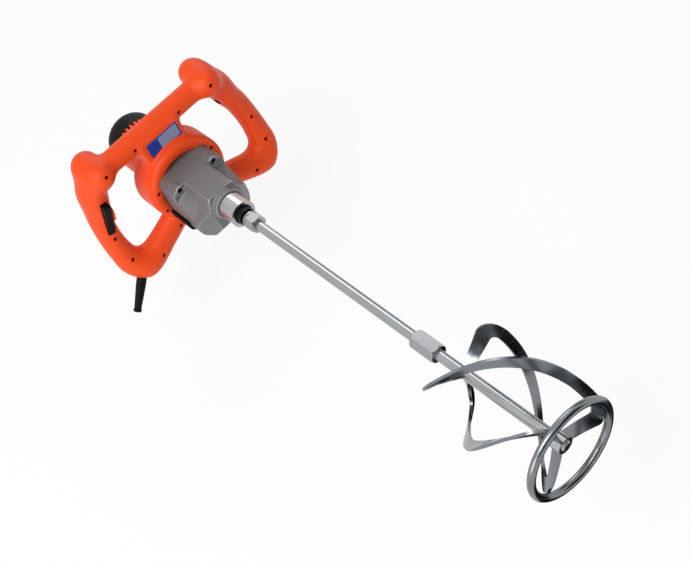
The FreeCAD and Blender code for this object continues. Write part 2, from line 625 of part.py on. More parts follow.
def make_housings():
    """Front and rear halves of the moulded D-handle housing."""
    outside = housing_form(0.0)
    shell = outside.cut(housing_form(SHELL_WALL))
    for x, z, _ in HOUSING_SCREWS:
        for sign in (-1, 1):
            boss = rod_y(SCREW_BOSS_RADIUS, DRUM_FRONT_Y, HUMP_REAR_Y, sign * x, z)
            shell = shell.fuse(boss.common(outside))
    shell = shell.fuse(trigger_guard())
    shell = shell.cut(case_rear_form(FREE_GAP, DRUM_FRONT_Y - 10, BEARING_PLATE_Y + 1))
    shell = shell.cut(rod_y(BEARING_PLATE_RADIUS + FREE_GAP, BEARING_PLATE_Y, FAN_FRONT_Y, 0.0, MOTOR_Z))
    for x, z, ahead in HOUSING_SCREWS:
        seat = screw_seat_y(z, ahead)
        for sign in (-1, 1):
            shell = shell.cut(rod_y(SCREW_HEAD_RADIUS + 0.2, seat - 40, seat, sign * x, z))
            shell = shell.cut(rod_y(SCREW_RADIUS + SEAT_GAP, seat - 1, parting_y(z) + SCREW_GRIP + 1, sign * x, z))
    for k in range(VENT_COUNT):
        slot = block(-VENT_WIDTH / 2, VENT_WIDTH / 2, HUMP_REAR_Y - VENT_DEPTH, HUMP_REAR_Y + 1, 0, HUMP_RADIUS + 5)
        slot.rotate(V(0, 0, 0), V(0, 1, 0), (k + 0.5) * 360.0 / VENT_COUNT)
        slot.translate(V(0, 0, MOTOR_Z))
        shell = shell.cut(slot)
    bore = rod_y(HUMP_RADIUS - SHELL_WALL, HUMP_REAR_Y - VENT_DEPTH, HUMP_REAR_Y + 1, 0.0, MOTOR_Z)
    shell = shell.cut(bore).cut(trigger_slot()).cut(trigger_pin(SEAT_GAP))
    lock_way = rod_y(LOCK_RADIUS + 0.3, parting_y(LOCK_Z) + 2, parting_y(LOCK_Z) + 45, LOCK_X, LOCK_Z)
    shell = shell.cut(lock_way).cut(boot_form(0.1))
    dial_way = rod_y(
        DIAL_RADIUS + FREE_GAP, parting_y(DIAL_Z) - DIAL_THICKNESS / 2 - FREE_GAP,
        parting_y(DIAL_Z) + DIAL_THICKNESS / 2 + FREE_GAP, DIAL_X, DIAL_Z)
    shell = shell.fuse(dial_posts().common(outside)).cut(dial_way)
    axle = rod_y(
        DIAL_AXLE_RADIUS + RUNNING_GAP, parting_y(DIAL_Z) - DIAL_AXLE_LENGTH / 2 - 0.2,
        parting_y(DIAL_Z) + DIAL_AXLE_LENGTH / 2 + 0.2, DIAL_X, DIAL_Z)
    shell = shell.cut(axle)
    parting = Part.makeCylinder(
        PARTING_RADIUS, 600, V(-300, PARTING_CENTRE_Y, PARTING_CENTRE_Z), V(1, 0, 0))
    return shell.common(parting), shell.cut(parting)


def screw_seat_y(z, ahead):
    """Y of the seat under a housing screw's head."""
    return parting_y(z) - ahead + SCREW_SEAT_DEPTH


def housing_screws():
    """Pan-head screws that hold the two halves of the housing."""
    screws = []
    for x, z, ahead in HOUSING_SCREWS:
        seat = screw_seat_y(z, ahead)
        for sign in (-1, 1):
            head = rod_y(SCREW_HEAD_RADIUS, seat - SCREW_HEAD_LENGTH, seat, sign * x, z)
            recess = hexagon_socket(sign * x, z, seat - SCREW_HEAD_LENGTH)
            shank = rod_y(SCREW_RADIUS, seat, parting_y(z) + SCREW_GRIP, sign * x, z)
            screws.append(head.fuse(shank).cut(recess).removeSplitter())
    return Part.makeCompound(screws)


def hexagon_socket(x, z, y):
    """Drive recess in a screw head."""
    across = SCREW_HEAD_RADIUS * 0.55
    outline = [(x + across * math.cos(k * math.pi / 3), z + across * math.sin(k * math.pi / 3)) for k in range(6)]
    return prism_y(outline, y - 1, y + 1.4)


def trigger_axes():
    """Top point of the trigger and its directions along and across the grip."""
    run_x = TRIGGER_FOOT[0] - TRIGGER_TOP[0]
    run_z = TRIGGER_FOOT[1] - TRIGGER_TOP[1]
    length = math.hypot(run_x, run_z)
    along = V(run_x / length, 0, run_z / length)
    return V(TRIGGER_TOP[0], 0, TRIGGER_TOP[1]), along, V(-along.z, 0, along.x), length


def trigger_prism(profile, inner, outer):
    """Extrude a profile of (distance down the trigger, y) points across the grip."""
    top, along, across, _ = trigger_axes()
    points = [top + along * s + V(0, y, 0) + across * inner for s, y in profile]
    face = Part.Face(Part.makePolygon(points + [points[0]]))
    return face.extrude(across * (outer - inner))


def trigger_pivot():
    """Middle of the trigger's pivot pin."""
    top, along, _, length = trigger_axes()
    return top + along * (length - TRIGGER_PIVOT_UP) + V(0, TRIGGER_SKIN_Y + TRIGGER_DEPTH * 0.56, 0)


def trigger_pin(clearance):
    """Pivot pin across the grip."""
    _, _, across, _ = trigger_axes()
    half = TRIGGER_WIDTH / 2 + 3.0
    start = trigger_pivot() - across * half
    return Part.makeCylinder(TRIGGER_PIN_RADIUS + clearance, 2 * half, start, across)


def make_trigger():
    """Squeeze lever that stands proud at its top and is hinged at its foot."""
    _, _, _, length = trigger_axes()
    skin = TRIGGER_SKIN_Y
    half = TRIGGER_WIDTH / 2
    body = trigger_prism([
        (0, skin - TRIGGER_PROUD + 1.5), (3.0, skin - TRIGGER_PROUD), (length * 0.45, skin - TRIGGER_PROUD * 0.55),
        (length * 0.8, skin - TRIGGER_FOOT_PROUD - 1.0), (length, skin - TRIGGER_FOOT_PROUD + 1.0),
        (length, skin + TRIGGER_DEPTH), (0, skin + TRIGGER_DEPTH),
    ], -half, half)
    return body.cut(trigger_pin(RUNNING_GAP))


def trigger_slot():
    """Opening for the trigger in the front of the left grip."""
    _, _, _, length = trigger_axes()
    half = TRIGGER_WIDTH / 2 + FREE_GAP
    start = TRIGGER_SKIN_Y - 20
    end = TRIGGER_SKIN_Y + TRIGGER_DEPTH + 7
    return trigger_prism([(-2, start), (length + 1, start), (length + 1, end), (-2, end)], -half, half)


def trigger_guard():
    """Raised lip of the housing along the inner side of the trigger."""
    inner = TRIGGER_WIDTH / 2 + FREE_GAP
    skin = TRIGGER_SKIN_Y
    return trigger_prism([
        (8, skin + 5), (12, skin - 3), (20, skin - 5.5), (30, skin - 4), (31, skin + 5),
    ], inner, inner + 3.4)


def make_switch():
    """Switch block behind the trigger, with a plunger towards it."""
    _, _, _, length = trigger_axes()
    front = parting_y(TRIGGER_TOP[1]) - 2.5
    return trigger_prism([
        (2, front), (length - 12, front), (length - 12, front + 10), (2, front + 10),
    ], -8.0, 8.0)


def make_trigger_spring():
    """Coil spring between the switch and the trigger."""
    top, along, _, length = trigger_axes()
    low = TRIGGER_SKIN_Y + TRIGGER_DEPTH
    high = parting_y(TRIGGER_TOP[1]) - 2.5
    wire = 0.6
    turns = 4
    coil = Part.makeHelix((high - low - 4 * wire) / turns, high - low - 4 * wire, 3.2)
    start = coil.Vertexes[0].Point
    profile = Part.Wire(Part.makeCircle(wire, start, V(0, 1, 0)))
    spring = Part.Wire(coil.Edges).makePipeShell([profile], True, True)
    spring.rotate(V(0, 0, 0), V(1, 0, 0), -90)
    spring.translate(top + along * (length * 0.3) + V(0, low + 2 * wire, 0))
    return spring


def make_lock_button():
    """Lock-on button in the back of the left grip, with a retaining flange."""
    skin = parting_y(LOCK_Z) + grip_rear(LOCK_Z)
    flange_rear = skin - SHELL_WALL - LOCK_FLANGE_GAP
    head = lathe_y([
        (0, flange_rear - 1.5), (LOCK_RADIUS + 1.5, flange_rear - 1.5), (LOCK_RADIUS + 1.5, flange_rear),
        (LOCK_RADIUS, flange_rear), (LOCK_RADIUS, skin + LOCK_PROUD - 1), (LOCK_RADIUS - 1, skin + LOCK_PROUD),
        (0, skin + LOCK_PROUD),
    ], LOCK_X, LOCK_Z)
    return head


def grip_rear(z):
    """How far the back of the grip lies behind the parting arc at a height, on its outer run."""
    run = [(high, behind + deep) for _, high, _, behind, deep in GRIP_LINE]
    for (high, first), (low, second) in zip(run, run[1:]):
        if low <= z <= high:
            return second + (first - second) * (z - low) / (high - low)
    return run[-1][1]


def dial_posts():
    """Posts inside the right grip that carry the ends of the dial's axle."""
    return rod_y(DIAL_AXLE_RADIUS + 3, parting_y(DIAL_Z) - 40, parting_y(DIAL_Z) + 40, DIAL_X, DIAL_Z)


def make_speed_dial():
    """Thumbwheel with a notched rim."""
    middle = parting_y(DIAL_Z)
    wheel = rod_y(DIAL_RADIUS, middle - DIAL_THICKNESS / 2, middle + DIAL_THICKNESS / 2, DIAL_X, DIAL_Z)
    for k in range(DIAL_TEETH):
        angle = 2 * math.pi * k / DIAL_TEETH
        reach = DIAL_RADIUS + 0.4
        notch = rod_y(
            0.9, middle - DIAL_THICKNESS, middle + DIAL_THICKNESS,
            DIAL_X + reach * math.cos(angle), DIAL_Z + reach * math.sin(angle))
        wheel = wheel.cut(notch)
    axle = rod_y(DIAL_AXLE_RADIUS, middle - DIAL_AXLE_LENGTH / 2, middle + DIAL_AXLE_LENGTH / 2, DIAL_X, DIAL_Z)
    return wheel.fuse(axle).removeSplitter()


def boot_form(grow):
    """Tapered cable boot with an inner flange and a bead at its end, not yet bored."""
    root = BOOT_ROOT_RADIUS + grow
    profile = [
        (0, 0), (BOOT_FLANGE_RADIUS + grow, 0), (BOOT_FLANGE_RADIUS + grow, BOOT_FLANGE_LENGTH),
        (root, BOOT_FLANGE_LENGTH), (root, BOOT_LENGTH * 0.4),
        (BOOT_END_RADIUS + grow, BOOT_LENGTH - 5), (BOOT_BEAD_RADIUS + grow, BOOT_LENGTH - 3.5),
        (BOOT_BEAD_RADIUS + grow, BOOT_LENGTH - 1.2), (BOOT_END_RADIUS + grow, BOOT_LENGTH), (0, BOOT_LENGTH),
    ]
    turned = lathe_y(profile)
    turned.Placement = boot_place()
    return turned


def make_cable_boot():
    """Cable boot with a bore for the sheath and a narrower way for the wires."""
    sheath = rod_y(BOOT_BORE_RADIUS, BOOT_SHEATH_STOP, BOOT_LENGTH + 1)
    wires = rod_y(BOOT_WIRE_RADIUS, -1, BOOT_SHEATH_STOP + 1)
    bore = sheath.fuse(wires)
    bore.Placement = boot_place()
    return boot_form(0.0).cut(bore)


def boot_place():
    """Where the boot starts and which way it points."""
    slope = math.sin(BOOT_ANGLE) * (PARTING_CENTRE_Z - BOOT_START[1])
    slope /= math.sqrt(PARTING_RADIUS ** 2 - (BOOT_START[1] - PARTING_CENTRE_Z) ** 2)
    axis = V(math.cos(BOOT_ANGLE), slope, math.sin(BOOT_ANGLE)).normalize()
    turn = FreeCAD.Rotation(V(0, 1, 0), axis)
    return FreeCAD.Placement(V(BOOT_START[0], parting_y(BOOT_START[1]), BOOT_START[1]), turn)


def make_spindle():
    """Output spindle with a threaded socket for the paddle rod."""
    flange_rear = NECK_FRONT_Y + 2.0
    flange_front = flange_rear - SPINDLE_FLANGE_LENGTH
    tail_rear = GEAR_PLATE_Y + BEARING_LIP + SPINDLE_REAR_BEARING[2]
    solid = lathe_y([
        (0, SPINDLE_FRONT_Y), (SPINDLE_RADIUS, SPINDLE_FRONT_Y), (SPINDLE_RADIUS, flange_front),
        (SPINDLE_FLANGE_RADIUS, flange_front), (SPINDLE_FLANGE_RADIUS, flange_rear), (SPINDLE_RADIUS, flange_rear),
        (SPINDLE_RADIUS, OUTPUT_GEAR_Y + SECOND_GEAR_WIDTH), (SPINDLE_TAIL_RADIUS, OUTPUT_GEAR_Y + SECOND_GEAR_WIDTH),
        (SPINDLE_TAIL_RADIUS, tail_rear), (0, tail_rear),
    ])
    return solid.cut(rod_y(ROD_RADIUS + SEAT_GAP, SPINDLE_FRONT_Y - 1, SPINDLE_FRONT_Y + SOCKET_DEPTH))


def bearing(sizes, y, x=0.0, z=0.0):
    """Ball bearing drawn as its rings, with recessed shields."""
    bore, outer, width = sizes
    ring = sleeve_y(bore + RUNNING_GAP, outer, y, y + width, x, z)
    lip = (outer - bore) * 0.28
    for face in (y - 1, y + width - 0.6):
        ring = ring.cut(sleeve_y(bore + lip, outer - lip, face, face + 1.6, x, z))
    return ring


def helicoid(radius, y):
    """Point and unit normal of the blade surface at a radius and a station along the spindle."""
    run = BLADE_TOP_Y - BLADE_BOTTOM_Y
    share = (BLADE_TOP_Y - y) / run
    angle = BLADE_TOP_ANGLE - BLADE_TURN * share - BLADE_LEAD * math.sin(math.pi * share)
    rate = (BLADE_TURN + BLADE_LEAD * math.pi * math.cos(math.pi * share)) / run
    point = V(radius * math.cos(angle), y, radius * math.sin(angle))
    outward = V(math.cos(angle), 0, math.sin(angle))
    slope = radius * rate
    forward = V(-slope * math.sin(angle), 1, slope * math.cos(angle))
    return point, outward.cross(forward).normalize()


def corner_arc(before, corner, after, bend, steps):
    """Points and width directions of a rounded corner between two straight runs of (radius, y)."""
    run_in = (corner - before).normalize()
    run_out = (after - corner).normalize()
    turn = math.acos(run_in.dot(run_out))
    setback = bend * math.tan(turn / 2)
    inward = (run_out - run_in).normalize()
    centre = corner + inward * (bend / math.cos(turn / 2))
    first = (corner - run_in * setback) - centre
    last = (corner + run_out * setback) - centre
    arc = []
    for k in range(steps + 1):
        share = k / steps
        spoke = first * math.sin((1 - share) * turn) + last * math.sin(share * turn)
        spoke = spoke.normalize()
        arc.append((centre + spoke * bend, spoke))
    return arc


def blade_stations():
    """Centre line of the C-shaped strip as radius, station and width direction."""
    reach = BLADE_RADIUS - BLADE_WIDTH / 2
    top_in = V(BLADE_ROOT_RADIUS, BLADE_TOP_Y, 0)
    top_out = V(reach, BLADE_TOP_Y + BLADE_TOP_RISE, 0)
    low_out = V(reach, BLADE_BOTTOM_Y - BLADE_BOTTOM_DROP, 0)
    low_in = V(BLADE_ROOT_RADIUS, BLADE_BOTTOM_Y, 0)
    upper = corner_arc(top_in, top_out, low_out, BLADE_CORNER_RADIUS, BLADE_BEND_STATIONS)
    lower = corner_arc(top_out, low_out, low_in, BLADE_CORNER_RADIUS, BLADE_BEND_STATIONS)
    leg_steps = BLADE_LEG_STATIONS
    first, leg_width = upper[-1]
    last, _ = lower[0]
    leg = [(first + (last - first) * (k / leg_steps), leg_width) for k in range(1, leg_steps)]
    half_top = [(top_in, upper[0][1]), ((top_in + upper[0][0]) * 0.5, upper[0][1])]
    half_low = [((low_in + lower[-1][0]) * 0.5, lower[-1][1]), (low_in, lower[-1][1])]
    return half_top + upper + leg + lower + half_low


def make_blade(index):
    """Flat strip lying on the helicoid, coped to the rod, the hub and the ring."""
    sections = []
    half_w = BLADE_WIDTH / 2
    half_t = BLADE_THICKNESS / 2
    for middle, wide in blade_stations():
        _, normal = helicoid(middle.x, middle.y)
        corners = []
        for side_w, side_t in ((-1, -1), (1, -1), (1, 1), (-1, 1)):
            edge = middle + wide * (side_w * half_w)
            point, _ = helicoid(edge.x, edge.y)
            corners.append(point + normal * (side_t * half_t))
        sections.append(Part.makePolygon(corners + [corners[0]]))
    arm = BLADE_ARM_STATIONS
    bend = BLADE_BEND_STATIONS
    rod = rod_y(ROD_RADIUS + SEAT_GAP, ROD_TIP_Y - BLADE_WIDTH, COUPLING_FRONT_Y)
    hub = rod_y(HUB_RADIUS + SEAT_GAP, ROD_TIP_Y - BLADE_WIDTH, HUB_FRONT_Y + HUB_LENGTH + SEAT_GAP)
    ring = Part.makeTorus(RING_RADIUS, RING_WIRE_RADIUS + SEAT_GAP, V(0, RING_Y, 0), V(0, 1, 0))
    blade = Part.makeLoft(sections[:arm + 1], True, False).cut(rod)
    blade = blade.fuse(Part.makeLoft(sections[arm:arm + bend + 1], True, False))
    blade = blade.fuse(Part.makeLoft(sections[arm + bend:-arm - bend], True, False))
    blade = blade.fuse(Part.makeLoft(sections[-arm - bend - 1:-arm], True, False).cut(ring))
    blade = blade.fuse(Part.makeLoft(sections[-arm - 1:], True, False).cut(hub))
    blade.rotate(V(0, 0, 0), V(0, 1, 0), -index * 360.0 / BLADE_COUNT)
    return blade


def make_stator():
    """Two-pole lamination stack with windows for the field coils."""
    stack = sleeve_y(STATOR_BORE_RADIUS, STATOR_RADIUS, STATOR_FRONT_Y, STATOR_REAR_Y, 0.0, MOTOR_Z)
    return stack.cut(coil_windows(0.3))


def coil_windows(clearance):
    """Sectors at both sides of the stator that the coils run through."""
    ring = sleeve_y(
        STATOR_BORE_RADIUS - 1, COIL_OUTER_RADIUS + clearance, STATOR_FRONT_Y - 1, STATOR_REAR_Y + 1, 0.0, MOTOR_Z)
    reach = 80.0
    rise = reach * math.tan(COIL_WINDOW_ANGLE)
    fan = prism_y([(0, 0), (reach, -rise), (reach, rise)], STATOR_FRONT_Y - 2, STATOR_REAR_Y + 2)
    fan.translate(V(0, 0, MOTOR_Z))
    return ring.common(fan).fuse(ring.common(mirrored(fan)))


def make_field_coils():
    """Upper and lower saddle coils through the stator windows."""
    ring = sleeve_y(
        COIL_INNER_RADIUS, COIL_OUTER_RADIUS, STATOR_FRONT_Y - COIL_OVERHANG, STATOR_REAR_Y + COIL_OVERHANG,
        0.0, MOTOR_Z)
    stack = rod_y(STATOR_RADIUS + 1, STATOR_FRONT_Y - 0.3, STATOR_REAR_Y + 0.3, 0.0, MOTOR_Z)
    coils = ring.cut(stack.cut(coil_windows(0.0)))
    gap = 0.4
    slit = block(-100, 100, STATOR_FRONT_Y - 50, STATOR_REAR_Y + 50, MOTOR_Z - gap, MOTOR_Z + gap)
    return coils.cut(slit)


def make_armature_core():
    """Slotted armature stack."""
    stack = sleeve_y(
        ARMATURE_FRONT_BEARING[0] + 1 + SEAT_GAP, ARMATURE_RADIUS, STATOR_FRONT_Y, STATOR_REAR_Y, 0.0, MOTOR_Z)
    for k in range(ARMATURE_SLOTS):
        slot = block(
            -ARMATURE_SLOT_WIDTH / 2, ARMATURE_SLOT_WIDTH / 2, STATOR_FRONT_Y - 1, STATOR_REAR_Y + 1,
            ARMATURE_RADIUS - ARMATURE_SLOT_DEPTH, ARMATURE_RADIUS + 2)
        slot.rotate(V(0, 0, 0), V(0, 1, 0), k * 360.0 / ARMATURE_SLOTS)
        slot.translate(V(0, 0, MOTOR_Z))
        stack = stack.cut(slot)
    return stack


def make_armature_windings():
    """End turns in front of and behind the armature stack."""
    shaft = ARMATURE_FRONT_BEARING[0] + 1 + SEAT_GAP
    turns = []
    for near, far in ((STATOR_FRONT_Y, STATOR_FRONT_Y - WINDING_LENGTH), (STATOR_REAR_Y, STATOR_REAR_Y + WINDING_LENGTH)):
        ease = (far - near) * 0.4
        turns.append(lathe_y([
            (shaft, near), (WINDING_RADIUS, near), (WINDING_RADIUS, far - ease), (WINDING_RADIUS - 4, far), (shaft, far),
        ], 0.0, MOTOR_Z))
    return Part.makeCompound(turns)


def make_armature_shaft(phase):
    """Armature shaft with the first pinion cut on its front end."""
    body = ARMATURE_FRONT_BEARING[0] + 1
    tail = ARMATURE_REAR_BEARING[0]
    turned = lathe_y([
        (0, LAY_GEAR_Y + FIRST_GEAR_WIDTH), (ARMATURE_FRONT_BEARING[0], LAY_GEAR_Y + FIRST_GEAR_WIDTH + 0.5),
        (ARMATURE_FRONT_BEARING[0], FAN_FRONT_Y - 0.8), (body, FAN_FRONT_Y - 0.8),
        (body, REAR_BEARING_Y - 1), (tail, REAR_BEARING_Y - 1),
        (tail, REAR_BEARING_Y + ARMATURE_REAR_BEARING[2]), (0, REAR_BEARING_Y + ARMATURE_REAR_BEARING[2]),
    ], 0.0, MOTOR_Z)
    pinion = involute_gear(
        FIRST_MODULE, FIRST_PINION_TEETH, 1.0, 0.0, LAY_GEAR_Y - 1, LAY_GEAR_Y + FIRST_GEAR_WIDTH + 2,
        0.0, MOTOR_Z, phase)
    return turned.fuse(pinion)


def make_fan():
    """Cooling fan with straight blades on a back plate."""
    rear = FAN_FRONT_Y + FAN_LENGTH
    bore = ARMATURE_FRONT_BEARING[0] + 1 + SEAT_GAP
    fan = sleeve_y(bore, FAN_HUB_RADIUS, FAN_FRONT_Y, rear, 0.0, MOTOR_Z)
    fan = fan.fuse(sleeve_y(bore, FAN_RADIUS, rear - 1.6, rear, 0.0, MOTOR_Z))
    for k in range(FAN_BLADES):
        blade = block(FAN_HUB_RADIUS + 8, FAN_RADIUS - 1, FAN_FRONT_Y, rear - 1, -0.8, 0.8)
        blade.rotate(V(0, 0, 0), V(0, 1, 0), k * 360.0 / FAN_BLADES)
        blade.translate(V(0, 0, MOTOR_Z))
        fan = fan.fuse(blade)
    return fan.removeSplitter()


def make_commutator():
    """Copper commutator with its bar gaps."""
    body = sleeve_y(
        ARMATURE_FRONT_BEARING[0] + 1 + SEAT_GAP, COMMUTATOR_RADIUS, COMMUTATOR_Y,
        COMMUTATOR_Y + COMMUTATOR_LENGTH, 0.0, MOTOR_Z)
    for k in range(COMMUTATOR_BARS):
        gap = block(-0.25, 0.25, COMMUTATOR_Y - 1, COMMUTATOR_Y + COMMUTATOR_LENGTH + 1,
                    COMMUTATOR_RADIUS - 1.2, COMMUTATOR_RADIUS + 1)
        gap.rotate(V(0, 0, 0), V(0, 1, 0), k * 360.0 / COMMUTATOR_BARS)
        gap.translate(V(0, 0, MOTOR_Z))
        body = body.cut(gap)
    return body


def make_brushes():
    """Carbon brushes and their holders at both sides of the commutator."""
    middle = COMMUTATOR_Y + COMMUTATOR_LENGTH / 2
    near = COMMUTATOR_RADIUS + RUNNING_GAP
    half_w = BRUSH_WIDTH / 2
    half_h = BRUSH_HEIGHT / 2
    wall = 2.0
    face = rod_y(near, middle - 20, middle + 20, 0.0, MOTOR_Z)
    brush = block(near - 1, near + BRUSH_LENGTH, middle - half_w, middle + half_w, MOTOR_Z - half_h, MOTOR_Z + half_h)
    brush = brush.cut(face)
    holder = block(
        COMMUTATOR_RADIUS + 3, RIM_INNER_RADIUS - 1, middle - half_w - wall, BRACKET_ARM_Y,
        MOTOR_Z - half_h - wall, MOTOR_Z + half_h + wall)
    way = block(
        COMMUTATOR_RADIUS - 5, RIM_INNER_RADIUS - 3, middle - half_w - SEAT_GAP, middle + half_w + SEAT_GAP,
        MOTOR_Z - half_h - SEAT_GAP, MOTOR_Z + half_h + SEAT_GAP)
    holder = holder.cut(way)
    return (Part.makeCompound([brush, mirrored(brush)]), Part.makeCompound([holder, mirrored(holder)]))


def make_rear_bracket():
    """Spider that carries the rear armature bearing and the brush holders."""
    outer = ARMATURE_REAR_BEARING[1]
    rear = REAR_BEARING_Y + ARMATURE_REAR_BEARING[2]
    hub = rod_y(outer + 3.5, BRACKET_ARM_Y, rear + 1, 0.0, MOTOR_Z)
    bracket = hub.fuse(sleeve_y(RIM_INNER_RADIUS, RIM_OUTER_RADIUS, BRACKET_ARM_Y - 6, rear, 0.0, MOTOR_Z))
    for angle in (0, 90, 180, 270):
        arm = block(outer, RIM_INNER_RADIUS + 1, BRACKET_ARM_Y, BRACKET_ARM_Y + 6, -5, 5)
        arm.rotate(V(0, 0, 0), V(0, 1, 0), angle)
        arm.translate(V(0, 0, MOTOR_Z))
        bracket = bracket.fuse(arm)
    shaft_way = rod_y(ARMATURE_FRONT_BEARING[0] + 2, BRACKET_ARM_Y - 1, rear, 0.0, MOTOR_Z)
    return bracket.cut(shaft_way).cut(rod_y(outer + SEAT_GAP, REAR_BEARING_Y, rear + 2, 0.0, MOTOR_Z)).removeSplitter()


def make_motor_cap():
    """Rounded black cap over the rear of the motor, with air slots."""
    rear = HUMP_REAR_Y + CAP_DEPTH
    spigot = HUMP_RADIUS - SHELL_WALL - 0.2
    front = HUMP_REAR_Y - CAP_SPIGOT_LENGTH

    def skin(inset):
        """Outer or inner wall of the cap."""
        side = HUMP_RADIUS - 0.5 - inset
        steps = 6
        points = [(0, HUMP_REAR_Y if inset == 0 else HUMP_REAR_Y - 1), (side, HUMP_REAR_Y if inset == 0 else HUMP_REAR_Y - 1)]
        for k in range(steps + 1):
            turn = k * math.pi / 2 / steps
            bend = CAP_DOME_RADIUS - inset
            points.append((side - bend + bend * math.cos(turn), rear - inset - bend + bend * math.sin(turn)))
        points.append((0, rear - inset))
        return lathe_y(points, 0.0, MOTOR_Z)

    collar = sleeve_y(spigot - CAP_WALL, spigot, front, HUMP_REAR_Y + CAP_WALL, 0.0, MOTOR_Z)
    cap = skin(0.0).cut(skin(CAP_WALL)).fuse(collar).removeSplitter()
    for k in range(CAP_SLOTS):
        slot = block(9, 24, rear - 8, rear + 5, -1.6, 1.6)
        slot.rotate(V(0, 0, 0), V(0, 1, 0), k * 360.0 / CAP_SLOTS)
        slot.translate(V(0, 0, MOTOR_Z))
        cap = cap.cut(slot)
    return cap


def make_gear_plate():
    """Inner plate of the gear case that carries the rear spindle bearing."""
    plate = case_bay_form(CASE_WALL + 0.1, GEAR_PLATE_Y, GEAR_PLATE_Y + GEAR_PLATE_THICKNESS)
    seat = rod_y(
        SPINDLE_REAR_BEARING[1] + SEAT_GAP, GEAR_PLATE_Y + BEARING_LIP, GEAR_PLATE_Y + GEAR_PLATE_THICKNESS + 1)
    way = rod_y(SPINDLE_TAIL_RADIUS + 3, GEAR_PLATE_Y - 1, GEAR_PLATE_Y + 3)
    lay_way = rod_y(LAYSHAFT_RADIUS + 1.5, GEAR_PLATE_Y - 1, GEAR_PLATE_Y + GEAR_PLATE_THICKNESS + 1, LAY_X, LAY_Z)
    return plate.cut(seat).cut(way).cut(lay_way)


def make_bearing_plate():
    """Plate behind the gear case that carries the front armature bearing and the rear layshaft bearing."""
    plate = rod_y(BEARING_PLATE_RADIUS, BEARING_PLATE_Y, PLATE_REAR_Y, 0.0, MOTOR_Z)
    _, outer, width = ARMATURE_FRONT_BEARING
    plate = plate.cut(rod_y(outer + SEAT_GAP, PLATE_REAR_Y - width - 1, PLATE_REAR_Y - 1, 0.0, MOTOR_Z))
    plate = plate.cut(rod_y(outer - 2, BEARING_PLATE_Y - 1, PLATE_REAR_Y + 1, 0.0, MOTOR_Z))
    plate = plate.cut(rod_y(
        LAYSHAFT_BEARING[1] + SEAT_GAP, BEARING_PLATE_Y - 1, BEARING_PLATE_Y + LAYSHAFT_BEARING[2], LAY_X, LAY_Z))
    for x, z in case_screw_places():
        plate = plate.cut(rod_y(CASE_SCREW_RADIUS + SEAT_GAP, BEARING_PLATE_Y - 1, PLATE_REAR_Y + 1, x, z))
        if z < MOTOR_Z:
            plate = plate.cut(rod_y(CASE_SCREW_HEAD_RADIUS + 0.3, LOWER_SCREW_SEAT_Y, PLATE_REAR_Y + 1, x, z))
    return plate


def make_case_screws():
    """Socket screws: two through the upper lugs from the front, two through the plate from behind."""
    screws = []
    for x, z in case_screw_places():
        if z > MOTOR_Z:
            seat, outside, tip = UPPER_SCREW_SEAT_Y, -1, PLATE_REAR_Y
        else:
            seat, outside, tip = LOWER_SCREW_SEAT_Y, 1, LOWER_SCREW_TIP_Y + 1
        end = seat + outside * CASE_SCREW_HEAD_LENGTH
        head = rod_y(CASE_SCREW_HEAD_RADIUS, seat, end, x, z)
        socket = rod_y(CASE_SCREW_HEAD_RADIUS * 0.5, end + outside, end - outside * 2.5, x, z)
        screws.append(head.fuse(rod_y(CASE_SCREW_RADIUS, seat, tip, x, z)).cut(socket).removeSplitter())
    return Part.makeCompound(screws)


def make_layshaft(phase):
    """Layshaft with the second pinion cut on it."""
    tail = BEARING_PLATE_Y + LAYSHAFT_BEARING[2]
    journal = LAYSHAFT_BEARING[0]
    pinion_rear = OUTPUT_GEAR_Y + SECOND_GEAR_WIDTH
    turned = lathe_y([
        (0, LAY_BEARING_Y), (journal, LAY_BEARING_Y), (journal, OUTPUT_GEAR_Y), (LAYSHAFT_RADIUS, OUTPUT_GEAR_Y),
        (LAYSHAFT_RADIUS, LAY_GEAR_Y + FIRST_GEAR_WIDTH + 8), (journal, LAY_GEAR_Y + FIRST_GEAR_WIDTH + 8),
        (journal, tail), (0, tail),
    ], LAY_X, LAY_Z)
    pinion = involute_gear(
        SECOND_MODULE, SECOND_PINION_TEETH, 1.0, 0.0, OUTPUT_GEAR_Y - 0.5, pinion_rear + 0.5, LAY_X, LAY_Z, phase)
    return turned.fuse(pinion)


def make_baffle():
    """Black air shroud under the gear case, between the case and the drum."""
    inner = case_rear_form(FREE_GAP, 0, 200)
    outer = case_rear_form(BAFFLE_WALL, DRUM_FRONT_Y - BAFFLE_REACH, DRUM_FRONT_Y + DISH_DEPTH)
    ring = outer.cut(inner)
    keep = block(-100, 100, 0, 200, -200, MOTOR_Z - BAFFLE_DROP)
    return ring.common(keep).cut(housing_form(0.0))


def gear_phases():
    """Start angles at which the teeth of the three shafts stand in each other's gaps."""
    to_lay = math.atan2(LAY_Z, LAY_X)
    second_pinion = to_lay + math.pi
    output = to_lay + math.pi / SECOND_GEAR_TEETH
    motor_to_lay = math.atan2(LAY_Z - MOTOR_Z, LAY_X)
    first_pinion = motor_to_lay
    first_gear = motor_to_lay + math.pi + math.pi / FIRST_GEAR_TEETH
    return first_pinion, first_gear, second_pinion, output


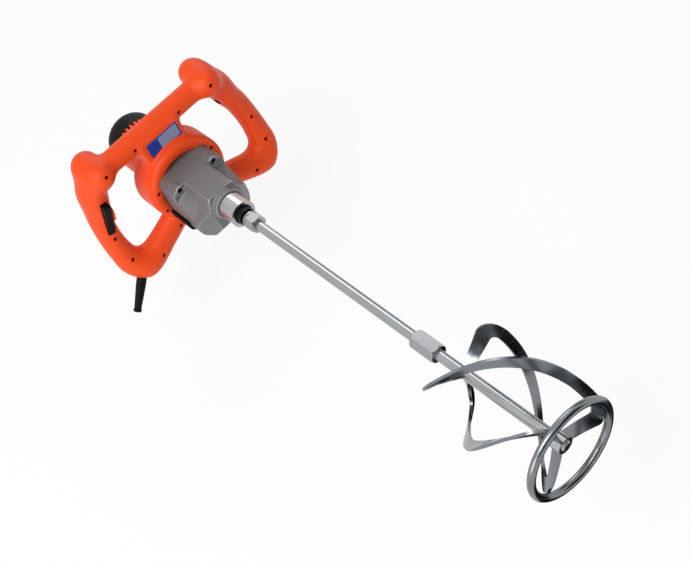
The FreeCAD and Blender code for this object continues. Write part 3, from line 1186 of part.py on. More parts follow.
def main():
    """Build every piece and write it."""
    os.makedirs(PARTS_DIR, exist_ok=True)
    first_pinion, first_gear, second_pinion, output = gear_phases()

    front, rear = make_housings()
    save("front_housing", front)
    save("rear_housing", rear)
    save("housing_screws", housing_screws())
    save("motor_cap", make_motor_cap())
    save("gear_case", make_gear_case())
    save("gear_case_screws", make_case_screws())
    save("gear_plate", make_gear_plate())
    save("bearing_plate", make_bearing_plate())
    save("air_baffle", make_baffle())

    neck = rod_y(NECK_RADIUS, NECK_FRONT_Y, NECK_REAR_Y).cut(rod_y(NECK_STEP_RADIUS, NECK_FRONT_Y - 1, NECK_REAR_Y + 1))
    neck = neck.cut(rod_y(NECK_BORE_RADIUS + SEAT_GAP, NECK_FRONT_Y - 1, NECK_FRONT_Y + 4 + SEAL_WIDTH))
    save("spindle_neck", neck)
    seal_y = NECK_FRONT_Y + 4
    save("spindle_seal", sleeve_y(SPINDLE_RADIUS + RUNNING_GAP, NECK_BORE_RADIUS, seal_y, seal_y + SEAL_WIDTH))
    save("spindle_front_bearing", bearing(SPINDLE_FRONT_BEARING, SPINDLE_FRONT_BEARING_Y))
    save("spindle_rear_bearing", bearing(SPINDLE_REAR_BEARING, GEAR_PLATE_Y + BEARING_LIP))
    save("layshaft_front_bearing", bearing(LAYSHAFT_BEARING, LAY_BEARING_Y, LAY_X, LAY_Z))
    save("layshaft_rear_bearing", bearing(LAYSHAFT_BEARING, BEARING_PLATE_Y, LAY_X, LAY_Z))
    armature_front_y = PLATE_REAR_Y - ARMATURE_FRONT_BEARING[2] - 1.0
    save("armature_front_bearing", bearing(ARMATURE_FRONT_BEARING, armature_front_y, 0.0, MOTOR_Z))
    save("armature_rear_bearing", bearing(ARMATURE_REAR_BEARING, REAR_BEARING_Y, 0.0, MOTOR_Z))

    save("stator_core", make_stator())
    save("field_coils", make_field_coils())
    save("rear_bracket", make_rear_bracket())
    brushes, holders = make_brushes()
    save("carbon_brushes", brushes)
    save("brush_holders", holders)
    save("switch_body", make_switch())
    save("cable_boot", make_cable_boot())
    save("trigger_pin", trigger_pin(0.0))

    save("armature_shaft", make_armature_shaft(first_pinion))
    save("armature_core", make_armature_core())
    save("armature_windings", make_armature_windings())
    save("commutator", make_commutator())
    save("cooling_fan", make_fan())

    save("layshaft", make_layshaft(second_pinion))
    save("layshaft_gear", involute_gear(
        FIRST_MODULE, FIRST_GEAR_TEETH, 0.7, LAYSHAFT_RADIUS + SEAT_GAP, LAY_GEAR_Y, LAY_GEAR_Y + FIRST_GEAR_WIDTH,
        LAY_X, LAY_Z, first_gear))

    save("spindle", make_spindle())
    save("output_gear", involute_gear(
        SECOND_MODULE, SECOND_GEAR_TEETH, 0.7, SPINDLE_RADIUS + SEAT_GAP, OUTPUT_GEAR_Y,
        OUTPUT_GEAR_Y + SECOND_GEAR_WIDTH, 0.0, 0.0, output))
    save("lock_washer", sleeve_y(ROD_RADIUS + SEAT_GAP, WASHER_RADIUS, NUT_REAR_Y, SPINDLE_FRONT_Y))
    nut = hexagon_y(NUT_ACROSS_FLATS, NUT_FRONT_Y, NUT_REAR_Y)
    save("lock_nut", nut.cut(rod_y(ROD_RADIUS + SEAT_GAP, NUT_FRONT_Y - 1, NUT_REAR_Y + 1)))
    save("upper_rod", rod_y(ROD_RADIUS, COUPLING_MID_Y + ROD_END_GAP / 2, SPINDLE_FRONT_Y + SOCKET_DEPTH - 3))
    coupling = hexagon_y(NUT_ACROSS_FLATS, COUPLING_FRONT_Y, COUPLING_REAR_Y)
    save("rod_coupling", coupling.cut(rod_y(ROD_RADIUS + SEAT_GAP, COUPLING_FRONT_Y - 1, COUPLING_REAR_Y + 1)))
    lower = rod_y(ROD_RADIUS, ROD_TIP_Y, COUPLING_MID_Y - ROD_END_GAP / 2)
    tip_edges = [edge for edge in lower.Edges if abs(edge.CenterOfMass.y - ROD_TIP_Y) < 0.01]
    save("lower_rod", lower.makeFillet(2.5, tip_edges))
    save("hub_collar", sleeve_y(ROD_RADIUS + SEAT_GAP, HUB_RADIUS, HUB_FRONT_Y, HUB_FRONT_Y + HUB_LENGTH))
    for index in range(BLADE_COUNT):
        save(f"blade_{index + 1}", make_blade(index))
    save("base_ring", Part.makeTorus(RING_RADIUS, RING_WIRE_RADIUS, V(0, RING_Y, 0), V(0, 1, 0)))

    save("trigger", make_trigger())
    save("trigger_spring", make_trigger_spring())
    save("lock_button", make_lock_button())
    save("speed_dial", make_speed_dial())
    print("nodes", len(saved))


main()
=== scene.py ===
"""Looks of a hand-held mixing drill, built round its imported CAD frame.

Pieces are sized in millimetres and scaled to metres where a mesh is made; the studio is in metres.
The frame is that of the CAD model: the spindle lies along Y with the paddle at -Y, the top bar of the
handle is at +Z and the origin is in the middle of the bright clamping neck.
"""
import logging
import math
from dataclasses import dataclass, field
from enum import Enum
from typing import Any, Callable, Sequence

import bmesh
import bpy
import numpy as np
from mathutils import Matrix, Vector


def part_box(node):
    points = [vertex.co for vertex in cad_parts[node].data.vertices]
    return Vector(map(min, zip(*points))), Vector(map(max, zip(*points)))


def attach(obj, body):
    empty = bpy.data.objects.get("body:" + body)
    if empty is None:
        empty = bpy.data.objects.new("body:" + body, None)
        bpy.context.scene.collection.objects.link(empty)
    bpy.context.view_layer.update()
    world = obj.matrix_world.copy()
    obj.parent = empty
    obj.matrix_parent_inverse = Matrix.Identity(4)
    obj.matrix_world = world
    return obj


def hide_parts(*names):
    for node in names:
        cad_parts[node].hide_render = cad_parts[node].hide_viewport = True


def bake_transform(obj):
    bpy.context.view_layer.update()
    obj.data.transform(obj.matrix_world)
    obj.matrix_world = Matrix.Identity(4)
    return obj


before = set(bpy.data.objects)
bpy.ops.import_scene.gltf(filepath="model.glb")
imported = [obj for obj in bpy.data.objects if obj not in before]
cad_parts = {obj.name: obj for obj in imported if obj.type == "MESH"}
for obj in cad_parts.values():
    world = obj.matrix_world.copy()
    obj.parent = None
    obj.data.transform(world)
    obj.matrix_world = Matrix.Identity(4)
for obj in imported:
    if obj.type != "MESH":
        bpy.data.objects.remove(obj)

LOG = logging.getLogger("mixing_drill")
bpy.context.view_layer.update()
MM = 0.001
Colour = tuple[float, float, float]
Triple = tuple[float, float, float]
Pair = tuple[float, float]
Points = np.ndarray

# Gap that is merged, step that a slope is measured over and reach past an axis, in millimetres
WELD = 0.001
PROBE = 0.05
AXIS_MARGIN = 5.0

# Start of a search for the nearest, and floors that keep the field maths from dividing by zero
FAR = 1e9
SMALL = 1e-6
LEVEL = 1e-12
LEAST_SLOPE = 0.25


class Body(str, Enum):
    """Bodies of the CAD frame that pieces ride on."""

    HEAD = "motor_head"
    TRIGGER = "trigger"


class Grain(Enum):
    """How the fine lines of a finish run, as scales of the pattern along X, Y and Z."""

    EVEN = (1.0, 1.0, 1.0)
    DRAWN = (1.0, 0.012, 1.0)
    TURNED = (0.03, 1.0, 0.03)


class Cut(Enum):
    """What a tool does to the form that it meets."""

    TAKE = "DIFFERENCE"
    KEEP = "INTERSECT"
    JOIN = "UNION"


class Along(Enum):
    """Axis that a form lies along, with the axis that it is turned about to get there from Z."""

    X = "Y"
    Y = "X"


# Shader building


class Sock:
    """A shader socket that takes part in Python maths."""

    def __init__(self, tree: bpy.types.NodeTree, socket: bpy.types.NodeSocket) -> None:
        """Hold a socket and its tree."""
        self.tree = tree
        self.socket = socket

    def maths(self, operation: str, other: Any, swap: bool = False) -> "Sock":
        """Add a Math node.

        Args:
            operation: Math node operation.
            other: second value, a number or a socket.
            swap: put the other value first.

        Returns:
            The node's result.
        """
        pair = (other, self) if swap else (self, other)
        return add_node(self.tree, "Math", {"operation": operation}, dict(enumerate(pair)))

    def __add__(self, other: Any) -> "Sock":
        """Sum."""
        return self.maths("ADD", other)

    def __radd__(self, other: Any) -> "Sock":
        """Sum, reflected."""
        return self.maths("ADD", other, True)

    def __sub__(self, other: Any) -> "Sock":
        """Difference."""
        return self.maths("SUBTRACT", other)

    def __rsub__(self, other: Any) -> "Sock":
        """Difference, reflected."""
        return self.maths("SUBTRACT", other, True)

    def __mul__(self, other: Any) -> "Sock":
        """Product."""
        return self.maths("MULTIPLY", other)

    def __rmul__(self, other: Any) -> "Sock":
        """Product, reflected."""
        return self.maths("MULTIPLY", other, True)


def add_node(tree: bpy.types.NodeTree, kind: str, settings: dict[str, Any] | None = None,
             sockets: dict[Any, Any] | None = None, out: Any = 0) -> Sock:
    """Add a shader node.

    Args:
        tree: tree that gets the node.
        kind: node type without its "ShaderNode" prefix.
        settings: properties that are set first.
        sockets: values or links by socket name or index.
        out: name or index of the result.

    Returns:
        The chosen result.
    """
    node = tree.nodes.new("ShaderNode" + kind)
    for key, value in (settings or {}).items():
        setattr(node, key, value)
    for key, value in (sockets or {}).items():
        if isinstance(value, Sock):
            tree.links.new(value.socket, node.inputs[key])
        else:
            node.inputs[key].default_value = value
    return Sock(tree, node.outputs[out])


def close_tree(tree: bpy.types.NodeTree, kind: str, surface: Sock) -> None:
    """Link a surface to a new output of a kind, Material or World."""
    out = tree.nodes.new("ShaderNodeOutput" + kind)
    tree.links.new(surface.socket, out.inputs["Surface"])


class Shader:
    """One material and the nodes that are added to it."""

    # Sockets of a Mix node that mixes colours
    SHARE_IN = 0
    COLOURS_IN = (6, 7)
    COLOUR_OUT = 2

    def __init__(self, name: str) -> None:
        """Start a material without nodes.

        Args:
            name: name of the material.
        """
        self.material = bpy.data.materials.new(name)
        self.material.use_nodes = True
        self.tree = self.material.node_tree
        self.tree.nodes.clear()

    def add(self, kind: str, settings: dict[str, Any] | None = None,
            sockets: dict[Any, Any] | None = None, out: Any = 0) -> Sock:
        """Add a node to the material, with the arguments and the result of add_node."""
        return add_node(self.tree, kind, settings, sockets, out)

    def noise(self, per_mm: float, grain: Grain = Grain.EVEN, detail: float = 3.0) -> Sock:
        """Add noise on object coordinates.

        Args:
            per_mm: features in a millimetre.
            grain: how the features run.
            detail: steps of finer noise.

        Returns:
            The noise value.
        """
        scale = tuple(axis * per_mm / MM for axis in grain.value)
        spot = self.add("TexCoord", out="Object")
        spot = self.add("Mapping", {}, {"Vector": spot, "Scale": scale})
        return self.add("TexNoise", {}, {"Vector": spot, "Scale": 1.0, "Detail": detail})

    def blend(self, share: Any, first: Any, second: Any) -> Sock:
        """Mix two colours.

        Args:
            share: share of the second colour.
            first: first colour.
            second: second colour.

        Returns:
            The mixed colour.
        """
        sockets = {self.SHARE_IN: share, **dict(zip(self.COLOURS_IN, (first, second)))}
        return self.add("Mix", {"data_type": "RGBA"}, sockets, self.COLOUR_OUT)

    def close(self, surface: Sock) -> bpy.types.Material:
        """Link the surface to the output and give the material back."""
        close_tree(self.tree, "Material", surface)
        return self.material


def tint(colour: Colour, factor: float) -> tuple[float, float, float, float]:
    """A colour made lighter or darker, with full alpha."""
    return tuple(min(1.0, c * factor) for c in colour) + (1.0,)


@dataclass(frozen=True)
class Finish:
    """A surface finish: one colour with its grain, mottle, gloss and a painted highlight on its convex
    edges.
    """

    name: str
    slot: str
    colour: Colour
    roughness: float
    metallic: float = 0.0
    specular: float = 0.5
    grain: Grain = Grain.EVEN
    grain_per_mm: float = 1.6
    grain_depth_mm: float = 0.03
    grain_strength: float = 0.6
    grain_tone: float = 0.6
    gloss_spread: float = 0.12
    mottle: float = 0.06
    mottle_per_mm: float = 0.05
    mottle_detail: float = 4.0
    # Painted highlight on convex edges: its strength, the pointiness where it starts, its gain, its least
    # share under the grain, and its colour
    edge_highlight: float = 0.0
    highlight_from: float = 0.512
    highlight_gain: float = 26.0
    highlight_floor: float = 0.3
    highlight_colour: Colour = (0.6, 0.6, 0.6)

    def material(self) -> bpy.types.Material:
        """The finish as a procedural material, made once.

        Returns:
            The material.
        """
        ready = bpy.data.materials.get(self.name)
        if ready is not None:
            return ready
        shader = Shader(self.name)
        fine = shader.noise(self.grain_per_mm, self.grain)
        broad = shader.noise(self.mottle_per_mm, detail=self.mottle_detail)
        dark = tint(self.colour, 1.0 - self.mottle)
        light = tint(self.colour, 1.0 + self.mottle)
        colour = shader.blend(broad, dark, light)
        colour = shader.blend(fine * self.mottle, colour, tint(self.colour, self.grain_tone))
        gloss = (broad + fine - 1.0) * self.gloss_spread + self.roughness
        # Painted highlight: convex edges are lightened towards the highlight colour through a pointiness
        # mask
        if self.edge_highlight > 0:
            highlight_mask = self._painted_edge_highlight(shader, fine)
            colour = shader.blend(highlight_mask, colour, (*self.highlight_colour, 1.0))
        bump = shader.add("Bump", {}, {
            "Height": fine, "Strength": self.grain_strength, "Distance": self.grain_depth_mm * MM})
        surface = shader.add("BsdfPrincipled", {}, {
            "Base Color": colour, "Roughness": gloss, "Metallic": self.metallic,
            "Specular IOR Level": self.specular, "Normal": bump})
        return shader.close(surface)

    def _painted_edge_highlight(self, shader: Shader, fine: Sock) -> Sock:
        """Mask of the painted highlight on convex edges, broken up by the grain.

        Args:
            shader: material that gets the mask.
            fine: noise of the grain.

        Returns:
            The mask.
        """
        bend = shader.add("NewGeometry", out="Pointiness")
        edge = (bend - self.highlight_from) * self.highlight_gain
        return shader.add("Clamp", {}, {"Value": edge * (fine + self.highlight_floor) * self.edge_highlight})


class Finishes:
    """Finishes of the tool."""

    ORANGE = Finish("orange_moulding", "orange_plastic", (0.80, 0.066, 0.006), 0.44, specular=0.25,
                    grain_per_mm=2.2, grain_depth_mm=0.02, mottle=0.04)
    BLACK = Finish("black_moulding", "black_plastic", (0.004, 0.004, 0.0042), 0.46, specular=0.1)
    RUBBER = Finish("boot_rubber", "black_rubber", (0.003, 0.003, 0.003), 0.58, specular=0.12,
                    grain_per_mm=1.2)
    # The grey casting gets a painted highlight on its convex edges
    CAST = Finish("grey_casting", "cast_case", (0.150, 0.151, 0.155), 0.44, metallic=0.15, specular=0.4,
                  grain_per_mm=1.1, grain_depth_mm=0.07, mottle=0.10, edge_highlight=0.8,
                  highlight_colour=(0.50, 0.50, 0.51))
    INNER_CAST = Finish("plain_casting", "cast_case", (0.40, 0.40, 0.41), 0.50, metallic=0.6)
    ROD = Finish("drawn_steel", "bright_steel", (0.36, 0.37, 0.38), 0.24, metallic=1.0,
                 grain=Grain.DRAWN, grain_per_mm=3.0, grain_depth_mm=0.01, mottle=0.10)
    TURNED = Finish("turned_steel", "bright_steel", (0.44, 0.44, 0.45), 0.22, metallic=1.0,
                    grain=Grain.TURNED, grain_per_mm=4.0, grain_depth_mm=0.01)
    STRIP = Finish("plated_strip", "bright_steel", (0.22, 0.235, 0.25), 0.22, metallic=1.0,
                   grain_per_mm=0.9, grain_depth_mm=0.015, mottle=0.12)
    DARK_STEEL = Finish("blackened_steel", "black_steel", (0.02, 0.02, 0.021), 0.34, metallic=0.8,
                        grain=Grain.TURNED, grain_per_mm=3.0)
    SCREW = Finish("screw_steel", "dark_screw", (0.02, 0.02, 0.021), 0.38, metallic=0.9)
    BEARING = Finish("ground_steel", "bearing_steel", (0.55, 0.55, 0.57), 0.22, metallic=1.0,
                     grain=Grain.TURNED, grain_per_mm=4.0, grain_depth_mm=0.005)
    SHEET = Finish("stacked_sheet", "lamination", (0.22, 0.22, 0.23), 0.48, metallic=0.9,
                   grain=Grain.TURNED, grain_per_mm=2.0, grain_depth_mm=0.10)
    COPPER = Finish("enamelled_copper", "copper", (0.62, 0.22, 0.08), 0.30, metallic=0.9,
                    grain=Grain.DRAWN, grain_per_mm=1.4, grain_depth_mm=0.12, mottle=0.15)
    CARBON = Finish("pressed_carbon", "carbon", (0.03, 0.03, 0.03), 0.62)
    LABEL_BLUE = Finish("label_blue", "black_plastic", (0.012, 0.040, 0.30), 0.32, specular=0.3,
                        grain_depth_mm=0.005, mottle=0.05)
    LABEL_GREY = Finish("label_grey", "cast_case", (0.22, 0.26, 0.40), 0.34, specular=0.3,
                        grain_depth_mm=0.005, mottle=0.05)


FINISHED_NODES: dict[Finish, tuple[str, ...]] = {
    Finishes.ORANGE: ("front_housing", "rear_housing"),
    Finishes.SCREW: ("housing_screws", "gear_case_screws", "trigger_pin"),
    Finishes.BLACK: ("motor_cap", "air_baffle", "brush_holders", "switch_body", "trigger", "lock_button",
                     "speed_dial", "cooling_fan"),
    Finishes.CAST: ("gear_case",),
    Finishes.INNER_CAST: ("gear_plate", "bearing_plate", "rear_bracket"),
    Finishes.TURNED: ("spindle_neck", "lock_washer", "hub_collar"),
    Finishes.ROD: ("lock_nut", "rod_coupling", "upper_rod", "lower_rod"),
    Finishes.STRIP: ("blade_1", "blade_2", "blade_3", "base_ring"),
    Finishes.BEARING: ("spindle_front_bearing", "spindle_rear_bearing", "layshaft_front_bearing",
                       "layshaft_rear_bearing", "armature_front_bearing", "armature_rear_bearing",
                       "armature_shaft", "layshaft", "layshaft_gear", "output_gear", "trigger_spring"),
    Finishes.DARK_STEEL: ("spindle",),
    Finishes.RUBBER: ("spindle_seal", "cable_boot"),
    Finishes.SHEET: ("stator_core", "armature_core"),
    Finishes.COPPER: ("field_coils", "armature_windings", "commutator"),
    Finishes.CARBON: ("carbon_brushes",),
}


def dress(obj: bpy.types.Object, finish: Finish) -> None:
    """Give an object one finish."""
    obj.data.materials.clear()
    obj.data.materials.append(finish.material())


def dress_frame() -> None:
    """Give every CAD node its finish."""
    for finish, names in FINISHED_NODES.items():
        for name in names:
            dress(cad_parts[name], finish)


# Mesh building


def new_object(name: str, mesh: bpy.types.Mesh) -> bpy.types.Object:
    """Link a mesh to the scene as an object at the origin.

    Args:
        name: name of the object.
        mesh: its mesh.

    Returns:
        The object.
    """
    obj = bpy.data.objects.new(name, mesh)
    bpy.context.scene.collection.objects.link(obj)
    return obj


def from_bmesh(name: str, form: bmesh.types.BMesh) -> bpy.types.Object:
    """Turn a bmesh into an object and free it.

    Args:
        name: name of the object and of its mesh.
        form: the bmesh.

    Returns:
        The object.
    """
    mesh = bpy.data.meshes.new(name)
    form.to_mesh(mesh)
    form.free()
    return new_object(name, mesh)


def node_form(node: str) -> bmesh.types.BMesh:
    """Copy a CAD node's mesh and merge its loose triangles.

    Args:
        node: name of the node.

    Returns:
        The merged copy.
    """
    form = bmesh.new()
    form.from_mesh(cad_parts[node].data)
    bmesh.ops.remove_doubles(form, verts=form.verts, dist=WELD * MM)
    return form


def apply_modifiers(obj: bpy.types.Object) -> None:
    """Bake an object's modifiers into its mesh.

    Args:
        obj: the object.
    """
    graph = bpy.context.evaluated_depsgraph_get()
    mesh = bpy.data.meshes.new_from_object(obj.evaluated_get(graph))
    obj.modifiers.clear()
    obj.data = mesh


def discard(obj: bpy.types.Object) -> None:
    """Remove a helper object."""
    bpy.data.objects.remove(obj, do_unlink=True)


def carve(obj: bpy.types.Object, tool: bpy.types.Object, cut: Cut = Cut.TAKE) -> None:
    """Work one closed object with another, which is used up.

    Args:
        obj: object that is changed.
        tool: object that changes it.
        cut: what the tool does.
    """
    work = obj.modifiers.new("cut", "BOOLEAN")
    work.operation = cut.value
    work.object = tool
    work.solver = "MANIFOLD"
    apply_modifiers(obj)
    discard(tool)


def smooth_by_angle(obj: bpy.types.Object, angle: float = 32.0) -> bpy.types.Object:
    """Shade smooth, with sharp edges above an angle.

    Args:
        obj: the object.
        angle: the angle in degrees.

    Returns:
        The object.
    """
    obj.data.shade_smooth()
    obj.data.set_sharp_from_angle(angle=math.radians(angle))
    return obj


def remesh(obj: bpy.types.Object, voxel: float) -> None:
    """Give an object one even closed skin.

    Args:
        obj: overlapping closed forms.
        voxel: size of the faces in millimetres.
    """
    skin = obj.modifiers.new("skin", "REMESH")
    skin.mode = "VOXEL"
    skin.voxel_size = voxel * MM
    apply_modifiers(obj)


def relax(form: bmesh.types.BMesh, verts: Sequence[bmesh.types.BMVert]) -> None:
    """Move vertices halfway to the middle of their neighbours."""
    bmesh.ops.smooth_vert(form, verts=verts, factor=0.5, use_axis_x=True, use_axis_y=True,
                          use_axis_z=True)


def lying(along: Along, middle: Sequence[float]) -> Matrix:
    """Place of a form that is turned from Z to lie along another axis, with its middle in millimetres."""
    turn = Matrix.Rotation(math.pi / 2, 4, along.value)
    return Matrix.Translation(Vector(middle) * MM) @ turn


def add_cylinder(form: bmesh.types.BMesh, radius: float, length: float, spot: Matrix,
                 segments: int = 96) -> None:
    """Add a closed cylinder.

    Args:
        form: bmesh that gets it.
        radius: radius in millimetres.
        length: length along its own Z in millimetres.
        spot: its place.
        segments: faces round it.
    """
    wide = radius * MM
    bmesh.ops.create_cone(form, cap_ends=True, segments=segments, radius1=wide, radius2=wide,
                          depth=length * MM, matrix=spot)


def add_drum(form: bmesh.types.BMesh, radius: float, span: Pair, place: Pair, segments: int = 96) -> None:
    """Add a closed cylinder along Y, in millimetres.

    Args:
        form: bmesh that gets it.
        radius: its radius.
        span: Y of its ends.
        place: X and Z of its axis.
        segments: faces round it.
    """
    low, high = span
    x, z = place
    add_cylinder(form, radius, high - low, lying(Along.Y, (x, (low + high) / 2, z)), segments)


def drum(name: str, radius: float, span: Pair, place: Pair, segments: int = 96) -> bpy.types.Object:
    """Closed cylinder along Y as an object.

    Args:
        name: name of the object.
        radius: its radius in millimetres.
        span: Y of its ends.
        place: X and Z of its axis.
        segments: faces round it.

    Returns:
        The object.
    """
    form = bmesh.new()
    add_drum(form, radius, span, place, segments)
    return from_bmesh(name, form)


def add_block(form: bmesh.types.BMesh, low: Triple, high: Triple) -> None:
    """Add a closed block.

    Args:
        form: bmesh that gets it.
        low: lower corner in millimetres.
        high: upper corner in millimetres.
    """
    start, end = Vector(low) * MM, Vector(high) * MM
    size = Matrix.Diagonal((*(end - start), 1.0))
    bmesh.ops.create_cube(form, size=1.0, matrix=Matrix.Translation((start + end) / 2) @ size)


def block(name: str, low: Triple, high: Triple) -> bpy.types.Object:
    """Closed block as an object.

    Args:
        name: name of the object.
        low: lower corner in millimetres.
        high: upper corner in millimetres.

    Returns:
        The object.
    """
    form = bmesh.new()
    add_block(form, low, high)
    return from_bmesh(name, form)


def prism(name: str, points: Sequence[Vector], run: Vector) -> bpy.types.Object:
    """Closed prism, in metres.

    Args:
        name: name of the object.
        points: its flat outline.
        run: the way that the outline is swept.

    Returns:
        The object.
    """
    form = bmesh.new()
    first = [form.verts.new(p) for p in points]
    last = [form.verts.new(p + run) for p in points]
    form.faces.new(first[::-1])
    form.faces.new(last)
    for k in range(len(points)):
        nxt = (k + 1) % len(points)
        form.faces.new((first[k], first[nxt], last[nxt], last[k]))
    bmesh.ops.recalc_face_normals(form, faces=form.faces)
    return from_bmesh(name, form)


def quarter_arc(across: float, up: float, radius: float, start: float, step: int) -> list[Pair]:
    """Points on a quarter of a circle in a plane.

    Args:
        across: first coordinate of the centre.
        up: second coordinate of the centre.
        radius: radius of the circle.
        start: angle of the first point in degrees.
        step: angle between two points in degrees.

    Returns:
        The points.
    """
    angles = [math.radians(start + turn) for turn in range(0, 91, step)]
    return [(across + radius * math.cos(a), up + radius * math.sin(a)) for a in angles]


def rounded_block(name: str, low: Pair, high: Pair, rims: Pair, span: Pair, step: int) -> bpy.types.Object:
    """Closed block along Y with round long edges, in millimetres.

    Args:
        name: name of the object.
        low: lower X and Z.
        high: upper X and Z.
        rims: radius of its upper and of its lower edges.
        span: Y of its ends.
        step: angle between two points of an edge in degrees.

    Returns:
        The object.
    """
    top, foot = rims
    corners = ((high[0] - top, high[1] - top, top), (low[0] + top, high[1] - top, top),
               (low[0] + foot, low[1] + foot, foot), (high[0] - foot, low[1] + foot, foot))
    outline = []
    for turn, (x, z, rim) in enumerate(corners):
        outline += quarter_arc(x, z, rim, 90 * turn, step)
    front, rear = span
    points = [Vector((x, front, z)) * MM for x, z in outline]
    return prism(name, points, Vector((0, rear - front, 0)) * MM)


def turned(name: str, rows: Sequence[Pair], segments: int) -> bpy.types.Object:
    """Closed turned form round Y.

    Args:
        name: name of the object.
        rows: radius and Y in millimetres, starting and ending on the axis.
        segments: faces round it.

    Returns:
        The object.
    """
    form = bmesh.new()
    rings = []
    for radius, y in rows:
        count = segments if radius > 0 else 1
        angles = [math.tau * k / count for k in range(count)]
        spots = [Vector((radius * math.cos(a), y, radius * math.sin(a))) * MM for a in angles]
        rings.append([form.verts.new(spot) for spot in spots])
    for first, last in zip(rings, rings[1:]):
        for k in range(segments):
            nxt = (k + 1) % segments
            if len(first) == 1:
                form.faces.new((first[0], last[nxt], last[k]))
            elif len(last) == 1:
                form.faces.new((first[k], first[nxt], last[0]))
            else:
                form.faces.new((first[k], first[nxt], last[nxt], last[k]))
    bmesh.ops.recalc_face_normals(form, faces=form.faces)
    return from_bmesh(name, form)


@dataclass
class Repeat:
    """Copies of one closed form, set out with Geometry Nodes."""

    master: bpy.types.Object
    places: Sequence[Triple]
    turns: Sequence[Triple] = ()
    material: bpy.types.Material | None = None

    def build(self, name: str) -> bpy.types.Object:
        """Set out the copies as one plain mesh.

        Args:
            name: name of the result.

        Returns:
            The copies, joined.
        """
        mesh = bpy.data.meshes.new(name)
        mesh.from_pydata([tuple(c * MM for c in p) for p in self.places], [], [])
        turn = mesh.attributes.new("turn", "FLOAT_VECTOR", "POINT")
        turns = self.turns or [(0.0, 0.0, 0.0)] * len(self.places)
        turn.data.foreach_set("vector", [c for row in turns for c in row])
        obj = new_object(name, mesh)
        modifier = obj.modifiers.new("copies", "NODES")
        modifier.node_group = self._tree()
        inputs = {"Piece": self.master, "Material": self.material}
        for item in modifier.node_group.interface.items_tree:
            if item.name in inputs:
                modifier[item.identifier] = inputs[item.name]
        apply_modifiers(obj)
        discard(self.master)
        return obj

    @staticmethod
    def _tree() -> bpy.types.NodeTree:
        """Node group that puts the piece on each point, made once.

        Returns:
            The node group.
        """
        ready = bpy.data.node_groups.get("set_out")
        if ready is not None:
            return ready
        tree = bpy.data.node_groups.new("set_out", "GeometryNodeTree")
        for name, kind in (("Points", "Geometry"), ("Piece", "Object"), ("Material", "Material")):
            tree.interface.new_socket(name, in_out="INPUT", socket_type="NodeSocket" + kind)
        tree.interface.new_socket("Copies", in_out="OUTPUT", socket_type="NodeSocketGeometry")
        add, link = tree.nodes.new, tree.links.new
        source, piece = add("NodeGroupInput"), add("GeometryNodeObjectInfo")
        turn = add("GeometryNodeInputNamedAttribute")
        turn.data_type = "FLOAT_VECTOR"
        turn.inputs["Name"].default_value = "turn"
        spread, real = add("GeometryNodeInstanceOnPoints"), add("GeometryNodeRealizeInstances")
        paint, result = add("GeometryNodeSetMaterial"), add("NodeGroupOutput")
        link(source.outputs["Piece"], piece.inputs["Object"])
        link(source.outputs["Points"], spread.inputs["Points"])
        link(piece.outputs["Geometry"], spread.inputs["Instance"])
        link(turn.outputs["Attribute"], spread.inputs["Rotation"])
        link(spread.outputs["Instances"], real.inputs["Geometry"])
        link(real.outputs["Geometry"], paint.inputs["Geometry"])
        link(source.outputs["Material"], paint.inputs["Material"])
        link(paint.outputs["Geometry"], result.inputs["Copies"])
        return tree


def rides(obj: bpy.types.Object, body: Body, finish: Finish, *nodes: str) -> None:
    """Finish a piece, let it ride on a body and stand for CAD nodes.

    Args:
        obj: the piece.
        body: the body that carries it.
        finish: its finish.
        nodes: CAD nodes that it replaces.
    """
    dress(obj, finish)
    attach(obj, body.value)
    if nodes:
        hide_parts(*nodes)
    LOG.info("piece %s on %s", obj.name, body.value)


# Distance fields of the moulded handle


def soft_union(first: Points, second: Points, reach: float) -> Points:
    """Union of two distance fields with a fillet."""
    gap = np.maximum(reach - np.abs(first - second), 0.0) / reach
    return np.minimum(first, second) - gap * gap * reach / 4


def soft_cut(body: Points, tool: Points, reach: float) -> Points:
    """Difference of two distance fields with a rounded edge."""
    return -soft_union(-body, tool, reach)


def capsule_field(points: Points, ends: Points, radius: float) -> Points:
    """Distance to a capsule.

    Args:
        points: rows of X, Y and Z.
        ends: middles of its two round ends.
        radius: its radius.

    Returns:
        One distance for each point.
    """
    run = ends[1] - ends[0]
    share = np.clip(((points - ends[0]) @ run) / (run @ run), 0.0, 1.0)
    return np.linalg.norm(points - ends[0] - share[:, None] * run, axis=1) - radius


def oval_field(points: Points, rows: Points) -> Points:
    """Distance to a chain of oval sections.

    Args:
        points: rows of X, Y and Z.
        rows: X, Z, Y, half width and half depth of each section.

    Returns:
        One distance for each point, negative inside.
    """
    best = np.full(len(points), FAR)
    flat = points[:, [0, 2]]
    for first, last in zip(rows[:-1], rows[1:]):
        run = last[:2] - first[:2]
        share = np.clip(((flat - first[:2]) @ run) / (run @ run), 0.0, 1.0)
        middle = first + share[:, None] * (last - first)
        off = np.linalg.norm(flat - middle[:, :2], axis=1)
        deep = points[:, 1] - middle[:, 2]
        near = np.maximum(np.hypot(off / middle[:, 3], deep / middle[:, 4]), SMALL)
        slope = np.maximum(np.hypot(off / middle[:, 3] ** 2, deep / middle[:, 4] ** 2), SMALL)
        best = np.minimum(best, near * (near - 1.0) / slope)
    return best


